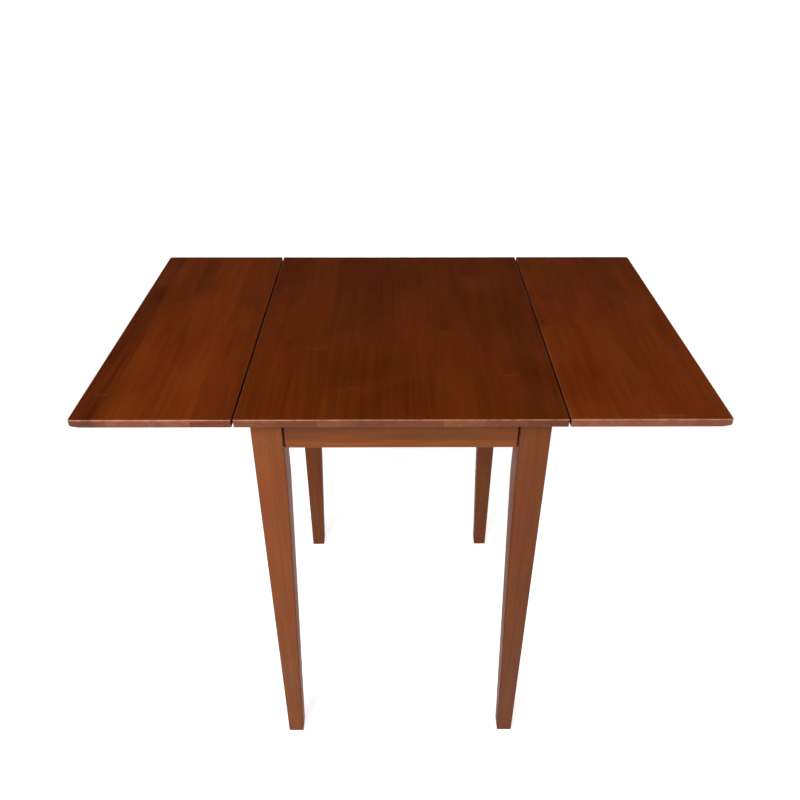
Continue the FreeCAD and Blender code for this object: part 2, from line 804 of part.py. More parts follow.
def aimed(shape, base, direction):
    """A copy of a solid made along +Z, set on a base point along a direction."""
    copy = shape.copy()
    copy.Placement = Placement(base, Rotation(Z_AXIS, direction)).multiply(copy.Placement)
    return copy


def moved(shape, place):
    copy = shape.copy()
    copy.Placement = place.multiply(copy.Placement)
    return copy


def keep_group(label, solids):
    group = doc.addObject("Part::Feature", label)
    group.Label = label
    group.Shape = Part.makeCompound(solids)
    group.Placement = Placement()
    kept.append(group)


def corner_place(way_x, way_y, turn):
    base = Vector(way_x * value("leg_x"), way_y * value("leg_y"), value("under_z"))
    return Placement(base, Rotation(Z_AXIS, turn))


def side_place(way, along):
    base = Vector(way * value("hinge_x"), along, value("axis_z"))
    return Placement(base, Rotation(Z_AXIS, side_turn(way)))


def make_corner_fasteners():
    """Hanger bolts, washers, nuts and block screws, in the corners' local frame."""
    out = Vector(-1, -1, 0)
    reach = value("leg_half - leg_flat / 2")
    root = 1 / math.sqrt(2)
    flat = Vector(reach, reach, -value("bolt_down"))
    inward = Vector(root, root, 0)
    washer_at = flat + inward * value("block_gap + block_thick")
    nut_at = washer_at + inward * value("washer_thick")
    long = value("bolt_in_leg + block_gap + block_thick + washer_thick + nut_thick + bolt_end")
    bolt = Part.makeCylinder(value("bolt_radius"), long)
    hole = Part.makeCylinder(value("bolt_radius + bolt_play"), value("nut_thick"))
    washer = Part.makeCylinder(value("washer_radius"), value("washer_thick")).cut(hole)
    nut_radius = value("nut_across") / math.sqrt(3)
    ring = []
    for step in range(7):
        angle = math.pi / 3 * step
        ring.append(Vector(nut_radius * math.cos(angle), nut_radius * math.sin(angle), 0))
    nut = Part.Face(Part.makePolygon(ring)).extrude(Z_AXIS * value("nut_thick")).cut(hole)
    seat, aside = value("apron_inner + block_screw_seat"), value("block_screw_in")
    down = -value("bolt_down")
    bolts, washers, nuts, screws = [], [], [], []
    for corner, way_x, way_y, turn in CORNERS:
        place = corner_place(way_x, way_y, turn)
        bolts.append(moved(aimed(bolt, flat - inward * value("bolt_in_leg"), inward), place))
        washers.append(moved(aimed(washer, washer_at, inward), place))
        nuts.append(moved(aimed(nut, nut_at, inward), place))
        screws.append(moved(aimed(pan_screw(), Vector(aside, seat, down), Vector(0, -1, 0)), place))
        screws.append(moved(aimed(pan_screw(), Vector(seat, aside, down), Vector(-1, 0, 0)), place))
    keep_group("hanger_bolts", bolts)
    keep_group("bolt_washers", washers)
    keep_group("bolt_nuts", nuts)
    keep_group("corner_block_screws", screws)


def make_cleat_screws():
    screw = wood_screw(value("cleat_screw_long"))
    inner = value("apron_front_y - apron_thick - cleat_wide")
    middle = value("apron_front_y - apron_thick - cleat_wide / 2")
    mid_z = value("under_z - cleat_wide / 2")
    low_z = value("under_z - cleat_wide")
    screws = []
    for end, way in ENDS:
        for side in (-1, 1):
            base = Vector(side * value("cleat_side_place"), way * inner, mid_z)
            screws.append(aimed(screw, base, Vector(0, way, 0)))
        for side in (-1, 0, 1):
            base = Vector(side * value("cleat_up_place"), way * middle, low_z)
            screws.append(aimed(screw, base, Z_AXIS))
    keep_group("cleat_screws", screws)


def make_glides():
    radius, high, ease = value("glide_radius"), value("glide_high"), value("glide_ease")
    nail, long = value("glide_nail_radius"), value("glide_nail_long")
    glide = turned_part([
        (0, 0),
        (radius - ease, 0),
        (radius, ease),
        (radius, high),
        (nail, high),
        (nail, high + long),
        (0, high + long),
    ])
    foot = value("foot_middle")
    glides = []
    for corner, way_x, way_y, turn in CORNERS:
        place = corner_place(way_x, way_y, turn)
        place.Base.z = 0
        glides.append(moved(glide, place.multiply(Placement(Vector(foot, foot, 0), Rotation()))))
    keep_group("foot_glides", glides)


def make_side_fasteners():
    """Screws, rivets and studs of the hinges and stays, grouped by what they move with."""
    hinge_screw = wood_screw(value("hinge_screw_long"))
    stay_screw = wood_screw(value("stay_screw_long"))
    pitch, low = value("screw_pitch"), value("hinge_drop - plate_thick")
    row, near_row, far_row = value("fixed_row"), value("leaf_row_near"), value("leaf_row_far")
    flange_y = -value("ear_far + flange_wide / 2")
    flange_low = value("hinge_drop - ear_thick")
    outer = value("ear_thick - apron_off")
    step, pivot_z, stud = value("flange_screw"), value("pivot_z"), value("stud_out")
    pivot_at = Vector(-value("pivot_in"), 0, pivot_z)
    stud_at = Vector(stud, 0, value("stud_z"))
    pivot_rivet = rivet(-value("ear_far"), value("ear_near"))
    frame_screws, frame_stay_screws, rivets = [], [], []
    for side, way in SIDES:
        leaf_screws, leaf_stay_screws, studs = [], [], []
        for end, end_way in ENDS:
            hinge = side_place(way, end_way * value("hinge_place"))
            for place in (-pitch, 0, pitch):
                base = Vector(-row, place, low)
                frame_screws.append(moved(aimed(hinge_screw, base, Z_AXIS), hinge))
                base = Vector(near_row if place else far_row, place, low)
                leaf_screws.append(moved(aimed(hinge_screw, base, Z_AXIS), hinge))
            stay = side_place(way, end_way * value("stay_place"))
            for place in (-step, step):
                base = Vector(outer, flange_y, pivot_z + place)
                frame_stay_screws.append(moved(aimed(stay_screw, base, Vector(-1, 0, 0)), stay))
                base = Vector(stud + place, flange_y, flange_low)
                leaf_stay_screws.append(moved(aimed(stay_screw, base, Z_AXIS), stay))
            rivets.append(moved(moved(pivot_rivet, Placement(pivot_at, Rotation())), stay))
            studs.append(moved(moved(pivot_rivet, Placement(stud_at, Rotation())), stay))
        keep_group(side + "_leaf_hinge_screws", leaf_screws)
        keep_group(side + "_leaf_stay_screws", leaf_stay_screws)
        keep_group(side + "_leaf_stay_studs", studs)
    keep_group("frame_hinge_screws", frame_screws)
    keep_group("frame_stay_screws", frame_stay_screws)
    keep_group("stay_pivot_rivets", rivets)


make_centre_top()
for side, way in SIDES:
    make_leaf(side, way)
for corner, way_x, way_y, turn in CORNERS:
    make_leg(corner, way_x, way_y, turn)
    make_corner_block(corner, way_x, way_y, turn)
make_apron("front_apron", "front_apron_long", "0", "-apron_front_y", 0)
make_apron("right_apron", "side_apron_long", "apron_side_x", "0", 90)
make_apron("rear_apron", "front_apron_long", "0", "apron_front_y", 180)
make_apron("left_apron", "side_apron_long", "-apron_side_x", "0", 270)
for end, way in ENDS:
    make_cleat(end, way)
for side, way in SIDES:
    turn = side_turn(way)
    for end, end_way in ENDS:
        x = "%d * hinge_x" % way
        hinge_y = "%d * hinge_place" % end_way
        make_fixed_plate(side, end, x, hinge_y, turn)
        make_leaf_plate(side, end, x, hinge_y, turn)
        make_pin(side, end, x, hinge_y)
        stay_y = "%d * stay_place" % end_way
        make_apron_bracket(side, end, x, stay_y, turn)
        make_leaf_bracket(side, end, x, stay_y, turn)
        make_arm(side, end, x, stay_y, turn)
make_corner_fasteners()
make_cleat_screws()
make_glides()
make_side_fasteners()
doc.recompute()

# Nothing is written unless every object is sound.
for item in doc.Objects:
    if "Invalid" in item.State or "Error" in item.State:
        raise RuntimeError("%s is in state %s" % (item.Label, item.State))
for part in kept:
    if part.Shape.isNull() or not part.Shape.isValid():
        raise RuntimeError(part.Label + " has no valid shape")

os.makedirs("parts", exist_ok=True)
for part in kept:
    part.Shape.exportStep("parts/%s.step" % part.Label)
print(len(kept), "sub-parts written")
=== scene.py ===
import json
import math

import bmesh
import bpy
import numpy as np
from mathutils import Euler, Matrix, Vector


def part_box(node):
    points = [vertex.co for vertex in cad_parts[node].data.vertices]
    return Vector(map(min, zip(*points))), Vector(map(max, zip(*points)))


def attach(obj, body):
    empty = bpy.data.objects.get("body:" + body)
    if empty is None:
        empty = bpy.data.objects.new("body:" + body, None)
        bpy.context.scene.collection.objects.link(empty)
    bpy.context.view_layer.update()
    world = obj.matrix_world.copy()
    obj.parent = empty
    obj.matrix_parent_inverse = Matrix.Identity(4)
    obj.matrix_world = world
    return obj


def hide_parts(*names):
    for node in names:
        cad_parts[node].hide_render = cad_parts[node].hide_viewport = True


# Drop-leaf dining table: stained boards, tapered legs, steel hinges and leaf stays.
# Metres, +Z up, the front towards -Y, both leaves raised at rest.

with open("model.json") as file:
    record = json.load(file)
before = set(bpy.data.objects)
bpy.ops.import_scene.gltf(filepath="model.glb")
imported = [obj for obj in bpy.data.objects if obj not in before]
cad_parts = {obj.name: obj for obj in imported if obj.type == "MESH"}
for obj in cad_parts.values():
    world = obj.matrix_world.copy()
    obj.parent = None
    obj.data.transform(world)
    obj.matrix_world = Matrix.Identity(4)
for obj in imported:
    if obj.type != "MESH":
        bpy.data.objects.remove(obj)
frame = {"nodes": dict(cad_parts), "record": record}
nodes = frame["nodes"]
record = frame["record"]
bodyOf = {node: body for body, members in record["behaviour"]["bodies"].items() for node in members}
slotOf = {entry["node"]: entry["material_slot"] for entry in record["subparts"]}
scene = bpy.context.scene
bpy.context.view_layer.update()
mm = 0.001
print("frame loaded:", len(nodes), "nodes")


# Mesh tools: every surface is a grid of points worked out as whole arrays

def tubeFaces(rows, columns, closed):
    # quads between neighbouring rings, which run anticlockwise seen from where the rows go
    row, column = np.meshgrid(np.arange(rows if closed else rows - 1), np.arange(columns), indexing="ij")
    beside = (column + 1) % columns
    here, after = row * columns, (row + 1) % rows * columns
    quads = np.stack([here + column, here + beside, after + beside, after + column], -1)
    return quads.reshape(-1, 4).tolist()


def tube(rings, closed=False, grain=None, wear=0.0, tone=0.0):
    # rings: (rows, columns, 3). Closed joins the last row to the first, otherwise both ends are capped
    rows, columns = rings.shape[:2]
    faces = tubeFaces(rows, columns, closed)
    if not closed:
        last = (rows - 1) * columns
        faces.append(list(range(columns))[::-1])
        faces.append(list(range(last, last + columns)))
    points = rings.reshape(-1, 3)
    return {
        "points": points,
        "faces": faces,
        "grain": points if grain is None else grain.reshape(-1, 3),
        "wear": np.broadcast_to(wear, rings.shape[:2]).reshape(-1),
        "tone": np.broadcast_to(tone, rings.shape[:2]).reshape(-1),
    }


def placePiece(mesh, material, replaced, sharpAngle):
    # a finished mesh takes the place and body of the node that it replaces, and the material it is given
    mesh.polygons.foreach_set("use_smooth", np.ones(len(mesh.polygons), bool))
    mesh.set_sharp_from_angle(angle=math.radians(sharpAngle))
    mesh.materials.append(material)
    piece = bpy.data.objects.new(mesh.name, mesh)
    scene.collection.objects.link(piece)
    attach(piece, bodyOf[replaced])
    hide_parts(replaced)


def storeGrain(mesh, points, wear, tone):
    # where each point lies in the wood, its wear, painted highlight or painted shade, and how pale its
    # piece is
    grain = mesh.attributes.new("grainPlace", "FLOAT_VECTOR", "POINT")
    grain.data.foreach_set("vector", points.ravel())
    for name, values in (("edgeWear", wear), ("pieceTone", tone)):
        mesh.attributes.new(name, "FLOAT", "POINT").data.foreach_set("value", values)


def makePiece(name, parts, material, replaced, sharpAngle=40, tone=0.0):
    points = np.concatenate([part["points"] for part in parts])
    faces, first = [], 0
    for part in parts:
        faces += [[corner + first for corner in face] for face in part["faces"]]
        first += len(part["points"])
    mesh = bpy.data.meshes.new(name)
    mesh.from_pydata(points.tolist(), [], faces)
    labels = ("grain", "wear", "tone")
    grain, wear, tones = (np.concatenate([part[label] for part in parts]) for label in labels)
    storeGrain(mesh, grain, wear, tones + tone)
    placePiece(mesh, material, replaced, sharpAngle)


def turnedPlace(points, degrees, base):
    # a turn about +Z, then a move
    angle = math.radians(degrees)
    cosine, sine = math.cos(angle), math.sin(angle)
    turn = np.array([[cosine, -sine, 0], [sine, cosine, 0], [0, 0, 1]])
    return points @ turn.T + np.array(base)


def roundedRings(lowX, highX, lowY, highY, radius, steps):
    # a rectangle with quarter-circle corners at each level: corner centre + radius * (cos a, sin a)
    # radius: (levels, 4), for the corners right front, right rear, left rear, left front
    corners = []
    for index, (sideX, wayX, sideY, wayY) in enumerate((
        (highX, -1, lowY, 1), (highX, -1, highY, -1), (lowX, 1, highY, -1), (lowX, 1, lowY, 1),
    )):
        bend = radius[:, index]
        angle = np.radians(90 * index - 90 + np.linspace(0, 90, steps + 1))
        x = (sideX + wayX * bend)[:, None] + bend[:, None] * np.cos(angle)
        y = (sideY + wayY * bend)[:, None] + bend[:, None] * np.sin(angle)
        corners.append(np.stack([x, y], -1))
    return np.concatenate(corners, 1)


# Node tools

def setSockets(tree, node, values):
    # values: socket name or number -> a constant, or another node's output
    for socket, value in values.items():
        if isinstance(value, bpy.types.NodeSocket):
            tree.links.new(value, node.inputs[socket])
        else:
            node.inputs[socket].default_value = value


def addNode(tree, kind, values, **settings):
    node = tree.nodes.new("ShaderNode" + kind)
    for name, setting in settings.items():
        setattr(node, name, setting)
    setSockets(tree, node, values)
    return node


def calc(tree, operation, *values):
    return addNode(tree, "Math", dict(enumerate(values)), operation=operation).outputs[0]


def mixColour(tree, factor, first, second, blend="MIX"):
    node = addNode(tree, "Mix", {0: factor, 6: first, 7: second}, data_type="RGBA", blend_type=blend)
    return node.outputs[2]


def ramp(tree, value, low, high, toLow=0.0, toHigh=1.0):
    values = {0: value, 1: low, 2: high, 3: toLow, 4: toHigh}
    return addNode(tree, "MapRange", values, interpolation_type="SMOOTHSTEP").outputs[0]


def noise(tree, place, scales, detail=2.0, roughness=0.5, distortion=0.0):
    # noise over a place stretched by a scale for each axis, in cycles a metre
    scaled = addNode(tree, "VectorMath", {0: place, 1: scales}, operation="MULTIPLY").outputs[0]
    values = {
        "Vector": scaled, "Scale": 1.0, "Detail": detail, "Roughness": roughness, "Distortion": distortion,
    }
    return addNode(tree, "TexNoise", values).outputs[0]


def newGroup(name, inputs, outputs):
    tree = bpy.data.node_groups.new(name, "ShaderNodeTree")
    for label, kind, start in inputs:
        socket = tree.interface.new_socket(label, in_out="INPUT", socket_type="NodeSocket" + kind)
        if start is not None:
            socket.default_value = start
    for label, kind in outputs:
        tree.interface.new_socket(label, in_out="OUTPUT", socket_type="NodeSocket" + kind)
    return tree, tree.nodes.new("NodeGroupInput").outputs, tree.nodes.new("NodeGroupOutput").inputs


def linear(red, green, blue):
    # 8-bit screen colour to the linear one that shaders use, by the sRGB curve
    shares = [level / 255 for level in (red, green, blue)]
    levels = [((share + 0.055) / 1.055) ** 2.4 if share > 0.04045 else share / 12.92 for share in shares]
    return levels + [1.0]


def newMaterial(name):
    material = bpy.data.materials.new(name)
    material.use_nodes = True
    tree = material.node_tree
    shader = next(node for node in tree.nodes if node.type == "BSDF_PRINCIPLED")
    return material, tree, shader


# Wood: glued staves, growth bands, fibres, pores and stain blotches

figure = {
    # noise: cycles a metre across, through and along the grain, then detail, roughness and distortion
    "bend": ((9, 9, 2.2), 1.0),
    "bands": ((75, 75, 1.6), 1.0),
    "streaks": ((210, 210, 3.5), 3.0, 0.62),
    "fibres": ((1300, 1300, 22), 3.0, 0.6),
    "pores": ((1900, 1900, 75), 1.0),
    "blotches": ((10, 10, 5.5), 3.0, 0.55, 0.6),
    "tint": ((16, 16, 7), 2.0),
    "patches": ((70, 70, 9), 0.0),
    "staveShift": 7.3, "blockShift": (3.1, 2.3, 4.7),  # random moves of a stave's ends and a block's figure
    "bendTurns": 5.0, "bandTurns": 3.0, "turnAngle": 6.3, "bandTone": 0.18,  # growth bands: a sine of noise
    "poreEnds": (0.63, 0.74), "glossEnds": (0.3, 0.7),
    "tintMore": 0.6, "tintLeast": 0.7,  # share of green and blue that is left
    "glueWide": (0.1 * mm, 0.5 * mm), "glueTone": -0.22,  # dark line between staves
    "jointWide": (0.3 * mm, 1.0 * mm), "jointShare": 0.26, "jointEnds": (0.52, 0.66),  # pale, at block ends
    "jointColour": linear(176, 112, 70),
    "fibreHeight": 0.35, "streakHeight": 0.5, "poreHeight": -0.5, "glueHeight": -0.5,
    "bumpDistance": 0.4 * mm, "coatRoughness": 0.22,
}


def toEdge(tree, place, size):
    # metres to the nearer edge of a cell, from a place counted in cells: (0.5 - |fraction - 0.5|) * size
    off = calc(tree, "ABSOLUTE", calc(tree, "SUBTRACT", calc(tree, "FRACT", place), 0.5))
    return calc(tree, "MULTIPLY", calc(tree, "SUBTRACT", 0.5, off), size)


def grey(tree, level):
    return addNode(tree, "CombineColor", {0: level, 1: level, 2: level}).outputs[0]


def makeStainedWood():
    tree, given, out = newGroup(
        "stainedWood",
        [
            ("Place", "Vector", None),
            ("Tone", "Float", 0.0),
            ("Dark", "Color", None),
            ("Light", "Color", None),
            ("Stave Width", "Float", 0.05),
            ("Stave Length", "Float", 0.4),
            ("Stave Contrast", "Float", 0.2),
            ("Band Contrast", "Float", 0.3),
            ("Fibre Contrast", "Float", 0.3),
            ("Blotch Contrast", "Float", 0.4),
            ("Pore Depth", "Float", 0.3),
        ],
        [("Color", "Color"), ("Height", "Float"), ("Gloss", "Float"), ("Stave", "Float")],
    )
    place = given["Place"]
    axes = addNode(tree, "SeparateXYZ", {0: place}).outputs
    across = calc(tree, "DIVIDE", axes[0], given["Stave Width"])
    stave = calc(tree, "FLOOR", across)
    staveRandom = addNode(tree, "TexWhiteNoise", {"W": stave}, noise_dimensions="1D").outputs["Value"]
    along = calc(tree, "DIVIDE", axes[2], given["Stave Length"])
    along = calc(tree, "MULTIPLY_ADD", staveRandom, figure["staveShift"], along)
    block = calc(tree, "FLOOR", along)
    blockPlace = addNode(tree, "CombineXYZ", {0: stave, 1: block}).outputs[0]
    blockRandom = addNode(tree, "TexWhiteNoise", {"Vector": blockPlace}, noise_dimensions="2D").outputs
    apart = {0: blockRandom["Color"], 1: figure["blockShift"]}
    apart = addNode(tree, "VectorMath", apart, operation="MULTIPLY").outputs[0]
    own = addNode(tree, "VectorMath", {0: place, 1: apart}, operation="ADD").outputs[0]

    bend = noise(tree, own, *figure["bend"])
    bands = calc(tree, "MULTIPLY", noise(tree, own, *figure["bands"]), figure["bandTurns"])
    bands = calc(tree, "MULTIPLY_ADD", bend, figure["bendTurns"], bands)
    bands = calc(tree, "SINE", calc(tree, "MULTIPLY", bands, figure["turnAngle"]))
    streaks = noise(tree, own, *figure["streaks"])
    fibres = noise(tree, own, *figure["fibres"])
    pores = ramp(tree, noise(tree, own, *figure["pores"]), *figure["poreEnds"])
    blotches = noise(tree, place, *figure["blotches"])

    tone = calc(tree, "ADD", given["Tone"], 0.5)
    bandTone = calc(tree, "MULTIPLY", given["Band Contrast"], figure["bandTone"])
    tone = calc(tree, "MULTIPLY_ADD", bands, bandTone, tone)
    for value, weight in (
        (streaks, given["Band Contrast"]),
        (fibres, given["Fibre Contrast"]),
        (blotches, given["Blotch Contrast"]),
        (blockRandom["Value"], given["Stave Contrast"]),
    ):
        tone = calc(tree, "MULTIPLY_ADD", calc(tree, "SUBTRACT", value, 0.5), weight, tone)
    colour = mixColour(tree, tone, given["Dark"], given["Light"])
    tint = noise(tree, place, *figure["tint"])
    tint = calc(tree, "MULTIPLY_ADD", tint, figure["tintMore"], figure["tintLeast"])
    tint = addNode(tree, "CombineColor", {0: 1.0, 1: tint, 2: tint}).outputs[0]
    colour = mixColour(tree, 1.0, colour, tint, "MULTIPLY")
    shade = calc(tree, "MULTIPLY_ADD", pores, calc(tree, "MULTIPLY", given["Pore Depth"], -1.0), 1.0)

    glueLine = ramp(tree, toEdge(tree, across, given["Stave Width"]), *figure["glueWide"], 1.0, 0.0)
    shade = calc(tree, "MULTIPLY", shade, calc(tree, "MULTIPLY_ADD", glueLine, figure["glueTone"], 1.0))
    colour = mixColour(tree, 1.0, colour, grey(tree, shade), "MULTIPLY")
    end = toEdge(tree, along, given["Stave Length"])
    broken = ramp(tree, noise(tree, place, *figure["patches"]), *figure["jointEnds"])
    joint = ramp(tree, end, *figure["jointWide"], figure["jointShare"], 0.0)
    colour = mixColour(tree, calc(tree, "MULTIPLY", joint, broken), colour, figure["jointColour"])

    height = calc(tree, "MULTIPLY", pores, figure["poreHeight"])
    height = calc(tree, "MULTIPLY_ADD", fibres, figure["fibreHeight"], height)
    height = calc(tree, "MULTIPLY_ADD", glueLine, figure["glueHeight"], height)
    height = calc(tree, "MULTIPLY_ADD", streaks, figure["streakHeight"], height)
    tree.links.new(colour, out["Color"])
    tree.links.new(height, out["Height"])
    tree.links.new(ramp(tree, blotches, *figure["glossEnds"]), out["Gloss"])
    tree.links.new(blockRandom["Value"], out["Stave"])
    return tree


rubbingAndLight = {
    "patches": ((60, 60, 26), 4.0, 0.65), "patchEnds": (0.3, 0.65),  # as in figure
    "patchShare": 0.65, "evenShare": 0.35,
    "staveEnds": (0.1, 0.9, 0.1, 1.9),  # a stave's random number, from and to, and its share of the wear
    "arrisPower": 3.0,  # a full mask, the boards' arris with its painted highlight, is pale alike on every stave
    # painted shade: a near-black colour mixed in, with more roughness and no coat
    "jointShare": 0.85, "jointColour": linear(16, 5, 2), "jointDull": 3.0, "jointRough": 0.6,
}


def makeWearAndPaintedLight():
    # mask above 0: stain rubbed thin on an edge, in patches, and a painted highlight on the boards'
    # arrises; below 0: painted shade
    tree, given, out = newGroup(
        "edgeWear",
        [
            ("Base", "Color", None),
            ("Rubbed", "Color", None),
            ("Mask", "Float", 0.0),
            ("Place", "Vector", None),
            ("Amount", "Float", 0.5),
            ("Stave", "Float", 0.5),
            ("Roughness", "Float", 0.4),
        ],
        [("Color", "Color"), ("Roughness", "Float"), ("Open", "Float")],
    )
    broken = ramp(tree, noise(tree, given["Place"], *rubbingAndLight["patches"]), *rubbingAndLight["patchEnds"])
    rubbed = addNode(tree, "Clamp", {0: given["Mask"]}).outputs[0]
    byStave = ramp(tree, given["Stave"], *rubbingAndLight["staveEnds"])
    evenly = calc(tree, "POWER", rubbed, rubbingAndLight["arrisPower"])
    byStave = calc(tree, "MULTIPLY_ADD", evenly, calc(tree, "SUBTRACT", 1.0, byStave), byStave)
    rubbed = calc(tree, "MULTIPLY", rubbed, calc(tree, "MULTIPLY", given["Amount"], byStave))
    broken = calc(tree, "MULTIPLY_ADD", broken, rubbingAndLight["patchShare"], rubbingAndLight["evenShare"])
    rubbed = calc(tree, "MULTIPLY", rubbed, broken)
    # a mask below 0 paints shade: dark colour, more roughness and no coat
    paintedShade = addNode(tree, "Clamp", {0: calc(tree, "MULTIPLY", given["Mask"], -1.0)}).outputs[0]
    colour = mixColour(tree, rubbed, given["Base"], given["Rubbed"])
    shadeMix = calc(tree, "MULTIPLY", paintedShade, rubbingAndLight["jointShare"])
    colour = mixColour(tree, shadeMix, colour, rubbingAndLight["jointColour"])
    dull = addNode(tree, "Clamp", {0: calc(tree, "MULTIPLY", paintedShade, rubbingAndLight["jointDull"])}).outputs[0]
    rough = calc(tree, "MULTIPLY_ADD", dull, rubbingAndLight["jointRough"], given["Roughness"])
    tree.links.new(colour, out["Color"])
    tree.links.new(rough, out["Roughness"])
    tree.links.new(calc(tree, "SUBTRACT", 1.0, dull), out["Open"])
    return tree


stainedWood = makeStainedWood()
edgeWear = makeWearAndPaintedLight()

boardFinish = {
    "staveWidth": 0.058, "staveLength": 0.36, "stave": 0.18, "band": 0.36, "fibre": 0.2, "blotch": 0.58,
    "pores": 0.24, "roughness": (0.34, 0.4), "specular": 0.26, "coat": 0.08, "bump": 0.12,
}
frameFinish = {
    "staveWidth": 0.4, "staveLength": 3.0, "stave": 0.1, "fibre": 0.26, "blotch": 0.4,
    "pores": 0.28, "coat": 0.0, "bump": 0.14,
}
# rubbed: the colour of worn edges, and of the painted highlight on the boards' upper arrises
woods = {
    "topWood": {
        **boardFinish, "wear": 0.68,
        "dark": linear(62, 22, 0), "light": linear(131, 53, 4), "rubbed": linear(194, 138, 98),
    },
    "leafWood": {
        **boardFinish, "wear": 0.75,
        "dark": linear(70, 24, 0), "light": linear(147, 61, 5), "rubbed": linear(198, 145, 118),
        # across, from and to, and the tones there: a dark outer stave on the left, a paler one on the right
        "sideTones": [(-0.43, -0.414, -0.24, 0.0), (0.385, 0.42, 0.0, 0.07)],
    },
    "legWood": {
        **frameFinish, "band": 0.34, "wear": 0.12, "roughness": (0.5, 0.6), "specular": 0.2,
        "dark": linear(92, 44, 14), "light": linear(150, 80, 38), "rubbed": linear(186, 122, 84),
    },
    "apronWood": {
        **frameFinish, "band": 0.36, "wear": 0.3, "roughness": (0.45, 0.55), "specular": 0.25,
        "dark": linear(75, 33, 9), "light": linear(154, 81, 25), "rubbed": linear(176, 113, 72),
    },
    "innerWood": {
        "dark": linear(82, 40, 20), "light": linear(140, 84, 52), "rubbed": linear(170, 118, 80),
        "staveWidth": 0.5, "staveLength": 3.0, "stave": 0.1, "band": 0.5, "fibre": 0.34, "blotch": 0.35,
        "pores": 0.35, "wear": 0.2, "roughness": (0.62, 0.75), "specular": 0.35, "coat": 0.0, "bump": 0.3,
    },
}


def makeWood(name):
    finish = woods[name]
    material, tree, shader = newMaterial(name)
    place = addNode(tree, "Attribute", {}, attribute_name="grainPlace").outputs["Vector"]
    mask = addNode(tree, "Attribute", {}, attribute_name="edgeWear").outputs["Fac"]
    tone = addNode(tree, "Attribute", {}, attribute_name="pieceTone").outputs["Fac"]
    across = addNode(tree, "SeparateXYZ", {0: place}).outputs[0]
    for ends in finish.get("sideTones", ()):
        tone = calc(tree, "ADD", tone, ramp(tree, across, *ends))
    wood = addNode(tree, "Group", {
        "Place": place, "Tone": tone, "Dark": finish["dark"], "Light": finish["light"],
        "Stave Width": finish["staveWidth"], "Stave Length": finish["staveLength"],
        "Stave Contrast": finish["stave"], "Band Contrast": finish["band"],
        "Fibre Contrast": finish["fibre"], "Blotch Contrast": finish["blotch"],
        "Pore Depth": finish["pores"],
    }, node_tree=stainedWood).outputs
    # rubbed wear with a painted highlight on the arrises, and painted shade in seams and grooves
    wornAndLit = addNode(tree, "Group", {
        "Base": wood["Color"], "Rubbed": finish["rubbed"], "Mask": mask, "Place": place,
        "Amount": finish["wear"], "Stave": wood["Stave"],
        "Roughness": ramp(tree, wood["Gloss"], 0.0, 1.0, *finish["roughness"]),
    }, node_tree=edgeWear).outputs
    bump = {"Strength": finish["bump"], "Distance": figure["bumpDistance"], "Height": wood["Height"]}
    setSockets(tree, shader, {
        "Base Color": wornAndLit["Color"],
        "Roughness": wornAndLit["Roughness"],
        "Normal": addNode(tree, "Bump", bump).outputs[0],
        "Specular IOR Level": finish["specular"],
        "Coat Weight": calc(tree, "MULTIPLY", wornAndLit["Open"], finish["coat"]),
        "Coat Roughness": figure["coatRoughness"],
    })
    return material


stained = {name: makeWood(name) for name in woods}
print("wood materials made")


# Boards of the top

boards = {
    "bevelWide": 12 * mm, "bevelHigh": 3 * mm,  # under bevel at the leaves' outer ends
    "outerRound": 1.5 * mm,  # upper outer edges
    "lowRound": 1.5 * mm,  # lower front and rear edges
    "seamRound": 0.7 * mm, "seamLow": 0.6 * mm,  # upper and lower edges at the seams
    "corner": 1.2 * mm, "outerCorner": 4.5 * mm, "leastCorner": 0.3 * mm,  # in plan
    "support": 0.8 * mm,  # rings that keep the flat faces flat
    "beside": 0.2 * mm,  # from the bevel's upper line to the ring on each side of it
    "arcSteps": 6, "cornerSteps": 4,
    "uprightWear": 0.15,  # the upright edges show paler
    "seamArris": 0.08,
    "fixedSeam": -0.25, "leafSeam": -0.6,  # painted shade on the seams' walls
}


def arcInset(depth, radius):
    # a quarter round drawn in at a depth from the face where it ends: r - sqrt(r^2 - (r - depth)^2)
    return radius - np.sqrt(radius ** 2 - np.maximum(radius - depth, 0) ** 2)


